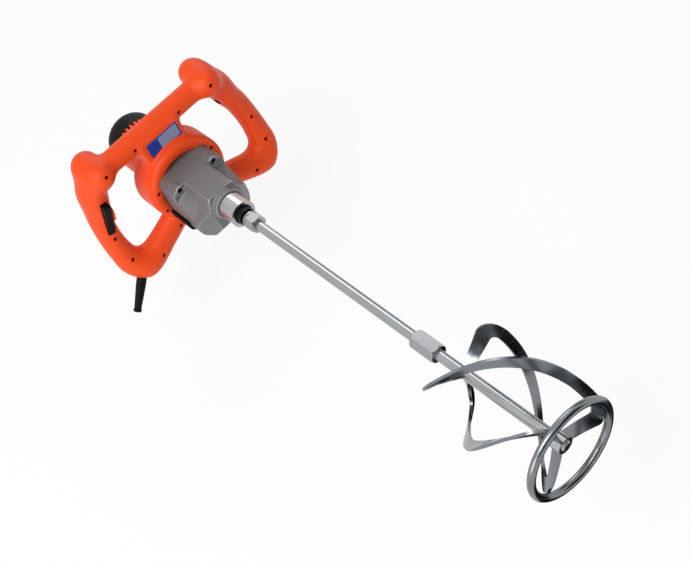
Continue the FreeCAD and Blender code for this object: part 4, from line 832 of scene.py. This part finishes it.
def outline_field(flat: Points, outline: Points) -> Points:
    """Distance to a closed outline in a plane.

    Args:
        flat: rows of two coordinates.
        outline: corners of the outline.

    Returns:
        One distance for each row, negative inside.
    """
    best = np.full(len(flat), FAR)
    inside = np.zeros(len(flat), bool)
    for start, end in zip(outline, np.roll(outline, -1, axis=0)):
        run = end - start
        share = np.clip(((flat - start) @ run) / (run @ run), 0.0, 1.0)
        best = np.minimum(best, np.linalg.norm(flat - start - share[:, None] * run, axis=1))
        crosses = (start[1] > flat[:, 1]) != (end[1] > flat[:, 1])
        if abs(run[1]) > LEVEL:
            side = run[0] * (flat[:, 1] - start[1]) / run[1] + start[0]
            inside ^= crosses & (flat[:, 0] < side)
    return np.where(inside, -best, best)


def catmull(points: Points, steps: int) -> Points:
    """Smooth curve through points.

    Args:
        points: the points.
        steps: samples in each span.

    Returns:
        The samples, with the last point at their end.
    """
    padded = np.vstack([2 * points[0] - points[1], points, 2 * points[-1] - points[-2]])
    rows = []
    for k in range(len(points) - 1):
        a, b, c, d = padded[k:k + 4]
        for t in np.linspace(0, 1, steps, endpoint=False):
            rows.append(0.5 * (2 * b + (c - a) * t + (2 * a - 5 * b + 4 * c - d) * t * t
                               + (3 * b - a - 3 * c + d) * t ** 3))
    rows.append(points[-1])
    return np.array(rows)


def settle(obj: bpy.types.Object, field_of: Callable[[Points], Points], rounds: int = 3,
           moves: int = 2) -> None:
    """Move an object's vertices onto the zero of a distance field.

    Args:
        obj: dense closed mesh near the surface.
        field_of: distance field of points.
        rounds: how often the mesh is relaxed.
        moves: moves to the surface after each time.
    """
    mesh = obj.data
    step = PROBE * MM
    for _ in range(rounds):
        form = bmesh.new()
        form.from_mesh(mesh)
        relax(form, form.verts)
        form.to_mesh(mesh)
        form.free()
        flat = np.zeros(len(mesh.vertices) * 3)
        mesh.vertices.foreach_get("co", flat)
        spots = flat.reshape(-1, 3)
        for _ in range(moves):
            value = field_of(spots)
            ahead = [field_of(spots + step * axis) - value for axis in np.eye(3)]
            slope = np.stack(ahead, axis=1) / step
            size = np.maximum((slope * slope).sum(axis=1), LEAST_SLOPE)
            spots = spots - slope * (value / size)[:, None]
        mesh.vertices.foreach_set("co", spots.ravel())
        mesh.update()


@dataclass(frozen=True)
class Station:
    """One oval section of a handle tube.

    It has a place in the front view, a half width, a distance of its middle behind the parting line
    and a half depth.
    """

    x: float
    z: float
    half: float
    behind: float
    deep: float


@dataclass
class HandleShape:
    """Sizes and distance field of the moulded two-hand handle, in millimetres."""

    parting_radius: float = 330.0
    parting_centre: Pair = (-179.0, 23.0)
    bar_radius: float = 15.8
    bar_z: float = 77.0
    bulb_radius: float = 18.2
    bulb_front: Triple = (95.6, 136.6, 77.8)
    bulb_rear: Triple = (96.9, 169.1, 82.0)
    grip: tuple[Station, ...] = (
        Station(102.0, 75.0, 18.0, 10.2, 27.0), Station(114.3, 49.0, 20.0, 9.5, 26.5),
        Station(122.0, 21.2, 17.5, 8.0, 25.0), Station(127.7, 2.8, 16.4, 4.9, 21.0),
        Station(131.6, -26.0, 16.2, 2.5, 18.5), Station(131.7, -54.0, 17.4, 0.6, 18.0),
        Station(127.6, -76.5, 19.8, 0.0, 19.8), Station(115.5, -91.0, 16.5, 0.0, 16.5))
    grip_steps: int = 5
    arm: tuple[Station, ...] = (
        Station(115.5, -91.0, 16.5, 0.0, 16.5), Station(97.0, -88.0, 19.8, 0.0, 19.8),
        Station(75.0, -81.0, 18.8, 0.0, 18.8), Station(52.0, -73.0, 18.4, 0.0, 18.4),
        Station(30.0, -63.5, 18.0, 0.0, 18.0), Station(9.0, -52.5, 17.0, 0.0, 17.0))
    arm_steps: int = 4
    motor_z: float = -12.0
    drum_radius: float = 62.0
    drum_span: Pair = (114.0, 166.0)
    drum_edge: float = 9.0
    drum_edge_step: int = 15
    hump_radius: float = 39.5
    hump_front: float = 120.0
    hump_rear: float = 238.0
    hump_lean: float = 8.0
    dish_radius: float = 47.0
    dish_floor: float = 36.0
    dish_depth: float = 10.0
    dish_flare: float = 8.0
    dish_lead: float = 20.0
    web_half: float = 35.0
    web_span: Pair = (127.0, 168.0)
    web_foot: float = 18.0
    web_edge: float = 6.0
    bar_blend: float = 9.0
    bulb_blend: float = 16.0
    corner_blend: float = 18.0
    web_blend: float = 6.3
    trunk_blend: float = 7.2
    dish_blend: float = 2.0

    def parting_y(self, z: float) -> float:
        """Y of the line where the two halves meet."""
        y, centre_z = self.parting_centre
        return y + math.sqrt(self.parting_radius ** 2 - (z - centre_z) ** 2)

    def tube(self, stations: Sequence[Station], steps: int) -> Points:
        """Rows of X, Z, Y, half width and half depth along one tube, in metres."""
        rows = [(s.x, s.z, self.parting_y(s.z) + s.behind, s.half, s.deep) for s in stations]
        return catmull(np.array(rows), steps) * MM

    def _drum_outline(self) -> Points:
        """Half section of the motor body.

        Returns:
            Rows of radius and Y in metres.
        """
        front, rear = self.drum_span
        edge, hump = self.drum_edge, self.hump_radius
        rows = [(-AXIS_MARGIN, front)]
        rows += quarter_arc(self.drum_radius - edge, front + edge, edge, -90, self.drum_edge_step)
        rows += quarter_arc(self.drum_radius - edge, rear - edge, edge, 0, self.drum_edge_step)
        rows += [(hump + self.hump_lean, rear), (hump, rear + self.hump_lean)]
        rows += [(hump, self.hump_rear), (-AXIS_MARGIN, self.hump_rear)]
        return np.array(rows) * MM

    def field_of(self, inset: float = 0.0) -> Callable[[Points], Points]:
        """Distance field of the outside, or of a skin inside it.

        Args:
            inset: depth of the skin under the outside.

        Returns:
            A function of points in metres.
        """
        grip = self.tube(self.grip, self.grip_steps)
        arm = self.tube(self.arm, self.arm_steps)
        bulb = np.array([self.bulb_front, self.bulb_rear]) * MM
        outline = self._drum_outline()
        bar_y = self.parting_y(self.bar_z) * MM

        def distance(points: Points) -> Points:
            """Distance of points to the skin.

            Args:
                points: rows of X, Y and Z in metres.

            Returns:
                One distance for each point, negative inside.
            """
            folded = points.copy()
            folded[:, 0] = np.abs(folded[:, 0])
            side = soft_union(oval_field(folded, grip), oval_field(folded, arm), self.corner_blend * MM)
            knob = capsule_field(folded, bulb, self.bulb_radius * MM)
            shape = soft_union(side, knob, self.bulb_blend * MM)
            along = np.maximum(folded[:, 0] - self.bulb_front[0] * MM, 0.0)
            high = folded[:, 2] - self.bar_z * MM
            bar = np.sqrt((folded[:, 1] - bar_y) ** 2 + high ** 2 + along ** 2) - self.bar_radius * MM
            shape = soft_union(shape, bar, self.bar_blend * MM)
            spread = np.hypot(folded[:, 0], folded[:, 2] - self.motor_z * MM)
            section = np.stack([spread, folded[:, 1]], axis=1)
            body = outline_field(section, outline)
            trunk = soft_union(body, self._web_field(folded), self.web_blend * MM)
            shape = soft_union(shape, trunk, self.trunk_blend * MM)
            return soft_cut(shape, self._dish_field(section), self.dish_blend * MM) + inset * MM

        return distance

    def _web_field(self, points: Points) -> Points:
        """Distance to the block under the label.

        Args:
            points: rows of X, Y and Z in metres.

        Returns:
            One distance for each point, negative inside.
        """
        rim = self.web_edge * MM
        low = np.array([-self.web_half, self.web_span[0], self.web_foot]) * MM
        high = np.array([self.web_half, self.web_span[1], self.bar_z + self.web_edge / 2]) * MM
        away = np.abs(points - (low + high) / 2) - ((high - low) / 2 - rim)
        outside = np.linalg.norm(np.maximum(away, 0.0), axis=1)
        return outside + np.minimum(away.max(axis=1), 0.0) - rim

    def _dish_field(self, section: Points) -> Points:
        """Distance to the cone that is sunk in the front of the drum.

        Args:
            section: rows of radius and Y in metres.

        Returns:
            One distance for each row, negative inside.
        """
        front = self.drum_span[0]
        mouth, floor = front - self.dish_lead, front + self.dish_depth
        rows = [(-AXIS_MARGIN, mouth), (self.dish_radius + self.dish_flare, mouth),
                (self.dish_radius, front), (self.dish_floor, floor), (-AXIS_MARGIN, floor)]
        return outline_field(section, np.array(rows) * MM)


@dataclass
class Handle:
    """Both moulded halves of the handle, hollow, with their openings, in millimetres."""

    shape: HandleShape = field(default_factory=HandleShape)
    voxel: float = 1.6
    inner_voxel: float = 3.2
    grip_balls: int = 6
    arm_balls: int = 5
    bulb_balls: int = 5
    ball_detail: int = 3
    wall: float = 3.0
    seam: float = 0.3
    seam_width: float = 600.0
    seam_segments: int = 1200
    overcut: float = 1.0
    case_half: float = 44.6
    case_low: float = -48.6
    case_high: float = 24.6
    case_corner: float = 14.6
    case_foot: float = 6.6
    case_lead: float = 10.0
    case_step: int = 9
    plate_radius: float = 47.1
    plate_span: Pair = (128.0, 139.5)
    vent_count: int = 32
    vent_width: float = 3.6
    vent_depth: float = 9.0
    vent_inside: float = 8.0
    vent_outside: float = 5.0
    # X and Z of each screw of one side, and how far the face lies ahead of the parting line there
    screws: tuple[Triple, ...] = (
        (94.2, 83.9, 27.3), (39.4, 76.6, 15.8), (130.5, -19.5, 16.0), (129.5, -60.0, 17.6),
        (91.7, -86.0, 19.2), (46.0, -72.0, 18.4), (49.0, 5.1, 36.0), (51.2, -28.7, 34.0))
    screw_seat: float = 7.0
    screw_head: float = 2.8
    screw_gap: float = 0.2
    screw_lead: float = 40.0
    screw_segments: int = 40
    trigger_top: Pair = (-115.5, 41.0)
    trigger_foot: Pair = (-129.0, -9.0)
    trigger_half: float = 5.85
    trigger_skin: float = 133.0
    trigger_ahead: float = 20.0
    trigger_behind: float = 14.5
    trigger_room: Pair = (2.0, 1.0)
    lip: tuple[Pair, ...] = ((8.0, 5.0), (12.0, -3.0), (16.0, -4.8), (20.0, -5.5), (25.0, -5.2),
                             (29.0, -4.2), (30.5, -3.0), (31.0, 5.0))
    lip_width: float = 3.4
    lock_place: Pair = (-121.5, 22.0)
    lock_radius: float = 5.2
    lock_reach: Pair = (2.0, 45.0)
    dial_place: Pair = (111.5, 32.0)
    dial_radius: float = 12.6
    dial_half: float = 2.8
    boot_place: Pair = (-122.0, -92.0)
    boot_axis: Triple = (-0.7211, -0.2414, -0.6493)
    boot_radius: float = 7.4
    boot_length: float = 60.0

    def build(self) -> list[bpy.types.Object]:
        """Make the front and rear halves.

        Returns:
            The two halves.
        """
        outside = self._rough()
        settle(outside, self.shape.field_of())
        inside = new_object("handle_inside", outside.data.copy())
        remesh(inside, self.inner_voxel)
        settle(inside, self.shape.field_of(self.wall))
        carve(outside, self._lip(), Cut.JOIN)
        carve(outside, inside)
        for tool in self._tools():
            carve(outside, tool)
        return self._split(outside)

    def _rough(self) -> bpy.types.Object:
        """Overlapping closed forms, remeshed to one skin near the final surface.

        Returns:
            The rough handle.
        """
        shape = self.shape
        form = bmesh.new()
        for (x, y, z), radius in self._balls():
            for side in (-1, 1):
                bmesh.ops.create_icosphere(form, subdivisions=self.ball_detail, radius=radius,
                                           matrix=Matrix.Translation((side * x, y, z)))
        bar = lying(Along.X, (0, shape.parting_y(shape.bar_z), shape.bar_z))
        add_cylinder(form, shape.bar_radius, 2 * shape.bulb_front[0], bar)
        add_drum(form, shape.drum_radius, shape.drum_span, (0, shape.motor_z))
        add_drum(form, shape.hump_radius, (shape.hump_front, shape.hump_rear), (0, shape.motor_z))
        add_block(form, (-shape.web_half, shape.web_span[0], shape.web_foot),
                  (shape.web_half, shape.web_span[1], shape.bar_z))
        obj = from_bmesh("handle_rough", form)
        remesh(obj, self.voxel)
        return obj

    def _balls(self) -> list[tuple[Triple, float]]:
        """Balls along the tubes and the bulb of one side.

        Returns:
            Their middles and radii in metres.
        """
        shape = self.shape
        balls = []
        for stations, steps in ((shape.grip, self.grip_balls), (shape.arm, self.arm_balls)):
            for x, z, y, half, deep in shape.tube(stations, steps):
                balls += [((x, y + k * (deep - half), z), half) for k in (-1.0, 0.0, 1.0)]
        front, rear = (Vector(end) * MM for end in (shape.bulb_front, shape.bulb_rear))
        for k in range(self.bulb_balls):
            middle = front.lerp(rear, k / (self.bulb_balls - 1))
            balls.append((tuple(middle), shape.bulb_radius * MM))
        return balls

    def _tools(self) -> list[bpy.types.Object]:
        """Closed forms that are cut out of the housing.

        Returns:
            The forms, in the order of their use.
        """
        shape = self.shape
        axis = (0.0, shape.motor_z)
        case_span = (shape.drum_span[0] - self.case_lead, self.plate_span[0] + self.overcut)
        cap_span = (shape.hump_rear - self.vent_depth, shape.hump_rear + self.overcut)
        lock_y = shape.parting_y(self.lock_place[1])
        lock_span = (lock_y + self.lock_reach[0], lock_y + self.lock_reach[1])
        dial_y = shape.parting_y(self.dial_place[1])
        dial_span = (dial_y - self.dial_half, dial_y + self.dial_half)
        return [
            rounded_block("case_pocket", (-self.case_half, self.case_low), (self.case_half, self.case_high),
                          (self.case_corner, self.case_foot), case_span, self.case_step),
            drum("plate_bore", self.plate_radius, self.plate_span, axis),
            drum("cap_bore", shape.hump_radius - self.wall, cap_span, axis),
            drum("lock_way", self.lock_radius, lock_span, self.lock_place),
            drum("dial_way", self.dial_radius, dial_span, self.dial_place),
            self._trigger_way(), self._boot_way(), self._vents(), self._screw_ways()]

    def _trigger_axes(self) -> tuple[Vector, Vector, Vector, float]:
        """Lie of the trigger in the grip.

        Returns:
            Its top, its directions along and across the grip, and its length.
        """
        (top_x, top_z), (foot_x, foot_z) = self.trigger_top, self.trigger_foot
        run = Vector((foot_x - top_x, 0, foot_z - top_z))
        along = run.normalized()
        return Vector((top_x, 0, top_z)), along, Vector((-along.z, 0, along.x)), run.length

    def _trigger_prism(self, name: str, profile: Sequence[Pair], inner: float,
                       outer: float) -> bpy.types.Object:
        """Profile beside the trigger, swept across the grip.

        Args:
            name: name of the object.
            profile: distance down the trigger, and behind its skin, of each point.
            inner: where the sweep starts across the grip.
            outer: where it ends.

        Returns:
            The object.
        """
        top, along, across, _ = self._trigger_axes()
        points = [(top + along * down + Vector((0, self.trigger_skin + behind, 0)) + across * inner) * MM
                  for down, behind in profile]
        return prism(name, points, across * ((outer - inner) * MM))

    def _trigger_way(self) -> bpy.types.Object:
        """Slot for the trigger.

        Returns:
            The form of the slot.
        """
        above, below = self.trigger_room
        foot = self._trigger_axes()[3] + below
        profile = [(-above, -self.trigger_ahead), (foot, -self.trigger_ahead),
                   (foot, self.trigger_behind), (-above, self.trigger_behind)]
        return self._trigger_prism("trigger_way", profile, -self.trigger_half, self.trigger_half)

    def _lip(self) -> bpy.types.Object:
        """Lip along the inner side of the trigger."""
        outer = self.trigger_half + self.lip_width
        return self._trigger_prism("trigger_lip", self.lip, self.trigger_half, outer)

    def _boot_way(self) -> bpy.types.Object:
        """Round hole for the cable boot.

        Returns:
            The form of the hole.
        """
        x, z = self.boot_place
        axis = Vector(self.boot_axis).normalized()
        start = Vector((x, self.shape.parting_y(z), z))
        middle = Matrix.Translation((start + axis * self.boot_length / 2) * MM)
        turn = Vector((0, 0, 1)).rotation_difference(axis).to_matrix().to_4x4()
        form = bmesh.new()
        add_cylinder(form, self.boot_radius, self.boot_length, middle @ turn)
        return from_bmesh("boot_way", form)

    def _vents(self) -> bpy.types.Object:
        """Slots round the rear edge of the motor body.

        Returns:
            The form of all slots.
        """
        half, rear, rim = self.vent_width / 2, self.shape.hump_rear, self.shape.hump_radius
        slot = block("vent_slot", (-half, rear - self.vent_depth, rim - self.vent_inside),
                     (half, rear + self.overcut, rim + self.vent_outside))
        turns = [(0.0, (k + 0.5) * math.tau / self.vent_count, 0.0) for k in range(self.vent_count)]
        places = [(0.0, 0.0, self.shape.motor_z)] * self.vent_count
        return Repeat(slot, places, turns).build("vent_tool")

    def screw_places(self) -> list[Triple]:
        """Middles of the screw seats on both sides.

        Returns:
            X, Y and Z of each seat.
        """
        rows = []
        for x, z, ahead in self.screws:
            seat = self.shape.parting_y(z) - ahead + self.screw_seat
            rows += [(side * x, seat, z) for side in (-1, 1)]
        return rows

    def _screw_ways(self) -> bpy.types.Object:
        """Recesses over the housing screws.

        Returns:
            The form of all recesses.
        """
        radius = self.screw_head + self.screw_gap
        hole = drum("screw_hole", radius, (-self.screw_lead, 0.0), (0.0, 0.0), self.screw_segments)
        return Repeat(hole, self.screw_places()).build("screw_tool")

    def _split(self, whole: bpy.types.Object) -> list[bpy.types.Object]:
        """Part the housing along its seam.

        Args:
            whole: the housing in one piece, which is used up.

        Returns:
            The front and rear halves.
        """
        y, z = self.shape.parting_centre
        halves = []
        for name, cut, share in (("handle_front", Cut.KEEP, -0.5), ("handle_rear", Cut.TAKE, 0.5)):
            radius = self.shape.parting_radius + share * self.seam
            form = bmesh.new()
            add_cylinder(form, radius, self.seam_width, lying(Along.X, (0, y, z)), self.seam_segments)
            half = new_object(name, whole.data.copy())
            carve(half, from_bmesh("seam_tool", form), cut)
            half.data.name = name
            halves.append(half)
        discard(whole)
        return halves


@dataclass
class HousingScrews:
    """Pan-head screws of the housing with a cross recess, in millimetres."""

    places: list[Triple]
    radius: float = 2.8
    length: float = 2.4
    shank: float = 1.9
    grip: float = 12.0
    # Shares of the radius and of the length
    crown: tuple[Pair, ...] = ((1.0, 0.55), (0.8, 0.9), (0.45, 1.0))
    segments: int = 32
    cross_reach: float = 1.7
    cross_half: float = 0.42
    cross_depth: float = 1.3
    cross_lead: float = 1.0
    cross_turn: float = 0.5

    def build(self) -> bpy.types.Object:
        """Make all screws as one piece.

        Returns:
            The screws.
        """
        top = -self.length
        rows = [(0.0, self.grip), (self.shank, self.grip), (self.shank, 0.0), (self.radius, 0.0)]
        rows += [(self.radius * wide, top * high) for wide, high in self.crown]
        screw = turned("screw_master", [*rows, (0.0, top)], self.segments)
        for turn in (0.0, math.pi / 2):
            arm = block("cross_arm", (-self.cross_reach, top - self.cross_lead, -self.cross_half),
                        (self.cross_reach, top + self.cross_depth, self.cross_half))
            arm.data.transform(Matrix.Rotation(turn + self.cross_turn, 4, "Y"))
            carve(screw, arm)
        return Repeat(screw, self.places, material=Finishes.SCREW.material()).build("cross_screws")


@dataclass
class GearCase:
    """Casting of the gear case: the CAD form with a ramp under each lug and soft edges, in millimetres."""

    node: str = "gear_case"
    voxel: float = 1.0
    crease: float = 50.0
    softening: int = 2
    ramp_softening: int = 24
    # Spans of X, Y and Z in which a ramp is blended
    ramp_box: tuple[Pair, ...] = ((27.0, 43.0), (56.0, 78.5), (-22.0, 14.0))
    # Corners of a ramp: X and Z at its back, and X, Y and Z at its front
    ramp_back: float = 80.5
    ramp_rear: tuple[Pair, ...] = (
        (22.0, 15.0), (29.0, 9.0), (37.0, 7.0), (43.6, 2.0), (43.6, -26.0), (24.0, 2.0))
    ramp_front: tuple[Triple, ...] = (
        (25.0, 47.0, 6.0), (43.5, 54.0, -23.5), (43.5, 54.0, -26.0), (24.0, 47.0, 2.0))
    boss_place: Pair = (30.5, 18.5)
    boss_radius: float = 7.4
    boss_span: Pair = (77.6, 96.0)
    boss_margin: float = 1.0
    boss_segments: int = 64
    recess_radius: float = 4.6
    recess_span: Pair = (72.6, 85.8)
    recess_segments: int = 48

    def build(self) -> bpy.types.Object:
        """Make the casting.

        Returns:
            The casting as one closed piece.
        """
        x, z = self.boss_place
        form = node_form(self.node)
        for side in (-1, 1):
            self._add_ramp(form, side)
            add_drum(form, self.boss_radius, self.boss_span, (side * x, z), self.boss_segments)
        casting = from_bmesh("case_casting", form)
        remesh(casting, self.voxel)
        self._soften(casting)
        for side in (-1, 1):
            recess = drum("lug_recess", self.recess_radius, self.recess_span, (side * x, z),
                          self.recess_segments)
            carve(casting, recess)
        return casting

    def _add_ramp(self, form: bmesh.types.BMesh, side: int) -> None:
        """Add the wedge that runs from a lug down to the shoulder.

        Args:
            form: bmesh that gets it.
            side: -1 or 1, the sign of its X.
        """
        rear = [(x, self.ramp_back, z) for x, z in self.ramp_rear]
        spots = [Vector((side * x, y, z)) * MM for x, y, z in (*rear, *self.ramp_front)]
        hull = bmesh.ops.convex_hull(form, input=[form.verts.new(spot) for spot in spots])
        loose = [item for item in hull["geom_interior"] if isinstance(item, bmesh.types.BMVert)]
        bmesh.ops.delete(form, geom=loose, context="VERTS")

    def _soften(self, casting: bpy.types.Object) -> None:
        """Round the edges of the casting, and blend its ramps into the shoulders.

        Args:
            casting: the casting.
        """
        form = bmesh.new()
        form.from_mesh(casting.data)
        ramps = [vert for vert in form.verts if self._on_ramp(vert.co / MM)]
        for verts, rounds in ((form.verts, self.softening), (ramps, self.ramp_softening)):
            for _ in range(rounds):
                relax(form, verts)
        form.to_mesh(casting.data)
        form.free()

    def _on_ramp(self, spot: Vector) -> bool:
        """Whether a point lies on a ramp, clear of the boss.

        Args:
            spot: the point in millimetres.

        Returns:
            True on a ramp.
        """
        folded = (abs(spot.x), spot.y, spot.z)
        inside = all(low < value < high for value, (low, high) in zip(folded, self.ramp_box))
        across = math.hypot(folded[0] - self.boss_place[0], spot.z - self.boss_place[1])
        return inside and across > self.boss_radius + self.boss_margin


@dataclass
class ReturnSpring:
    """Coil spring of the trigger, which shortens as the trigger is squeezed; this piece keeps the fixed CAD
    form.
    """

    node: str = "trigger_spring"

    def build(self) -> bpy.types.Object:
        """Make the coil from the CAD form, with its seams closed."""
        return from_bmesh("return_spring", node_form(self.node))

    def fit(self, coil: bpy.types.Object) -> None:
        """Finish the coil, hide the CAD spring and bake the coil's place into its mesh.

        Args:
            coil: the coil.
        """
        dress(coil, Finishes.BEARING)
        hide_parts(self.node)
        low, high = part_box(self.node)
        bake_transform(coil)
        LOG.info("piece %s between %s and %s", coil.name, Body.HEAD.value, Body.TRIGGER.value)


@dataclass
class Label:
    """Bare rating plate, a blue frame with a pale panel, in millimetres."""

    low: Pair = (-25.5, 49.0)
    high: Pair = (27.5, 73.5)
    face: float = 127.0
    thickness: float = 0.5
    sunk: float = 0.6
    corner: float = 1.6
    corner_step: int = 15
    panel_low: Pair = (-6.5, 51.5)
    panel_high: Pair = (25.5, 71.5)
    panel_proud: float = 0.12

    def build(self) -> list[bpy.types.Object]:
        """Make the frame and its panel.

        Returns:
            The frame and the panel.
        """
        plate = self._sheet("label_plate", self.low, self.high, 0.0)
        panel = self._sheet("label_panel", self.panel_low, self.panel_high, self.panel_proud)
        return [plate, panel]

    def _sheet(self, name: str, low: Pair, high: Pair, proud: float) -> bpy.types.Object:
        """Thin plate with round corners.

        Args:
            name: name of the object.
            low: lower X and Z.
            high: upper X and Z.
            proud: how far it stands before the frame.

        Returns:
            The object.
        """
        span = (self.face - self.thickness - proud, self.face + self.sunk - proud)
        return rounded_block(name, low, high, (self.corner, self.corner), span, self.corner_step)


# Studio


def seen_by_eye(tree: bpy.types.NodeTree) -> Sock:
    """Mask of the rays that show the surroundings.

    Args:
        tree: tree that gets the mask.

    Returns:
        1 for rays that come straight, mirrored or through glass, or else 0.
    """
    names = ("Is Camera Ray", "Is Glossy Ray", "Is Transmission Ray")
    straight, mirrored, through = (add_node(tree, "LightPath", out=name) for name in names)
    return straight.maths("MAXIMUM", mirrored).maths("MAXIMUM", through)


def flat_face(name: str, width: float, height: float, spot: Matrix) -> bpy.types.Object:
    """One flat face, in metres.

    Args:
        name: name of the object.
        width: its size along its own X.
        height: its size along its own Y.
        spot: its place.

    Returns:
        The object.
    """
    form = bmesh.new()
    size = Matrix.Diagonal((width, height, 1.0, 1.0))
    bmesh.ops.create_grid(form, x_segments=1, y_segments=1, size=0.5, matrix=spot @ size)
    return from_bmesh(name, form)


@dataclass(frozen=True)
class Card:
    """Dark card beside the set that only mirrors show."""

    name: str
    place: Triple
    aim: Triple
    width: float
    height: float
    tone: float = 0.004


@dataclass(frozen=True)
class Lamp:
    """One soft lamp."""

    name: str
    place: Triple
    size: float
    watts: float


@dataclass
class Studio:
    """Camera, floor and soft light, in metres."""

    eye: Triple = (-0.3469, -1.1137, 1.1530)
    right: Triple = (0.6986, -0.6517, -0.2954)
    up: Triple = (0.6759, 0.4658, 0.5711)
    back: Triple = (-0.2346, -0.5986, 0.7659)
    sensor: float = 36.0
    lens: float = 64.48
    aim: Triple = (0.0, -0.15, 0.0)
    lamps: tuple[Lamp, ...] = (
        Lamp("key_lamp", (-1.3, -0.6, 1.9), 1.4, 34.0),
        Lamp("left_lamp", (-1.9, -0.6, 0.3), 1.0, 9.0),
        Lamp("back_lamp", (1.3, 1.4, 1.6), 1.4, 12.0),
    )
    cards: tuple[Card, ...] = (
        Card("front_card", (0.55, -1.65, 0.55), (0.0, -0.5, 0.0), 1.5, 1.2),
        Card("left_card", (-0.75, -1.5, 0.85), (0.0, -0.5, 0.0), 1.2, 1.3, 0.12),
        Card("side_card", (1.3, 0.3, 0.5), (0.0, -0.2, 0.0), 1.2, 0.6),
        Card("floor_card", (0.12, -0.55, -0.22), (0.12, -0.55, 0.0), 0.4, 0.4),
    )
    white: Colour = (1.0, 1.0, 1.0)
    world_level: float = 0.50
    floor_z: float = -0.24
    floor_width: float = 12.0
    floor_colour: Colour = (0.86, 0.86, 0.86)
    floor_glow: float = 0.84

    def build(self) -> None:
        """Make the whole studio."""
        self._camera()
        self._world()
        self._floor()
        for lamp in self.lamps:
            self._lamp(lamp)
        for card in self.cards:
            self._card(card)
        bpy.context.scene.view_settings.view_transform = "Standard"

    def _camera(self) -> None:
        """Camera at the photograph's viewing angle."""
        data = bpy.data.cameras.new("camera")
        data.sensor_fit = "HORIZONTAL"
        data.sensor_width = self.sensor
        data.lens = self.lens
        camera = bpy.data.objects.new("camera", data)
        turn = Matrix((self.right, self.up, self.back)).transposed()
        camera.matrix_world = Matrix.Translation(self.eye) @ turn.to_quaternion().to_matrix().to_4x4()
        bpy.context.scene.collection.objects.link(camera)
        bpy.context.scene.camera = camera

    def _lamp(self, lamp: Lamp) -> None:
        """Square soft lamp that looks at the tool.

        Args:
            lamp: what the lamp is like.
        """
        data = bpy.data.lights.new(lamp.name, "AREA")
        data.size = lamp.size
        data.energy = lamp.watts
        obj = bpy.data.objects.new(lamp.name, data)
        obj.location = lamp.place
        obj.rotation_euler = (Vector(self.aim) - Vector(lamp.place)).to_track_quat("-Z", "Y").to_euler()
        bpy.context.scene.collection.objects.link(obj)

    def _card(self, card: Card) -> None:
        """Dark card that only mirrors show.

        Args:
            card: what the card is like.
        """
        turn = (Vector(card.aim) - Vector(card.place)).to_track_quat("Z", "Y").to_matrix().to_4x4()
        obj = flat_face(card.name, card.width, card.height, Matrix.Translation(card.place) @ turn)
        shader = Shader(card.name)
        dull = shader.add("BsdfDiffuse", {}, {"Color": (card.tone, card.tone, card.tone, 1.0)})
        obj.data.materials.append(shader.close(dull))
        obj.visible_camera = False
        obj.visible_diffuse = False
        obj.visible_shadow = False

    def _world(self) -> None:
        """Even pale surroundings that the camera and reflections see as white."""
        world = bpy.data.worlds.new("studio_world")
        bpy.context.scene.world = world
        world.use_nodes = True
        tree = world.node_tree
        tree.nodes.clear()
        level = seen_by_eye(tree) * (1.0 - self.world_level) + self.world_level
        glow = add_node(tree, "Background", {}, {"Color": (*self.white, 1.0), "Strength": level})
        close_tree(tree, "World", glow)

    def _floor(self) -> None:
        """Wide pale floor under the tool."""
        spot = Matrix.Translation((0, 0, self.floor_z))
        floor = flat_face("studio_floor", self.floor_width, self.floor_width, spot)
        shader = Shader("floor_paper")
        seen = seen_by_eye(shader.tree)
        matt = shader.add("BsdfDiffuse", {}, {"Color": (*self.floor_colour, 1.0)})
        glow = shader.add("Emission", {}, {"Color": (*self.white, 1.0), "Strength": 1.0})
        surface = shader.add("MixShader", {}, {0: seen * self.floor_glow, 1: matt, 2: glow})
        floor.data.materials.append(shader.close(surface))


def main() -> None:
    """Build the pieces in order."""
    logging.basicConfig(level=logging.INFO, format="%(message)s")
    Studio().build()
    dress_frame()
    handle = Handle()
    for half, node in zip(handle.build(), ("front_housing", "rear_housing")):
        rides(smooth_by_angle(half), Body.HEAD, Finishes.ORANGE, node)
    case = GearCase()
    rides(smooth_by_angle(case.build(), case.crease), Body.HEAD, Finishes.CAST, case.node)
    spring = ReturnSpring()
    spring.fit(smooth_by_angle(spring.build()))
    screws = HousingScrews(handle.screw_places()).build()
    rides(smooth_by_angle(screws), Body.HEAD, Finishes.SCREW, "housing_screws")
    for sheet, finish in zip(Label().build(), (Finishes.LABEL_BLUE, Finishes.LABEL_GREY)):
        rides(sheet, Body.HEAD, finish)


if __name__ == "__main__":
    main()
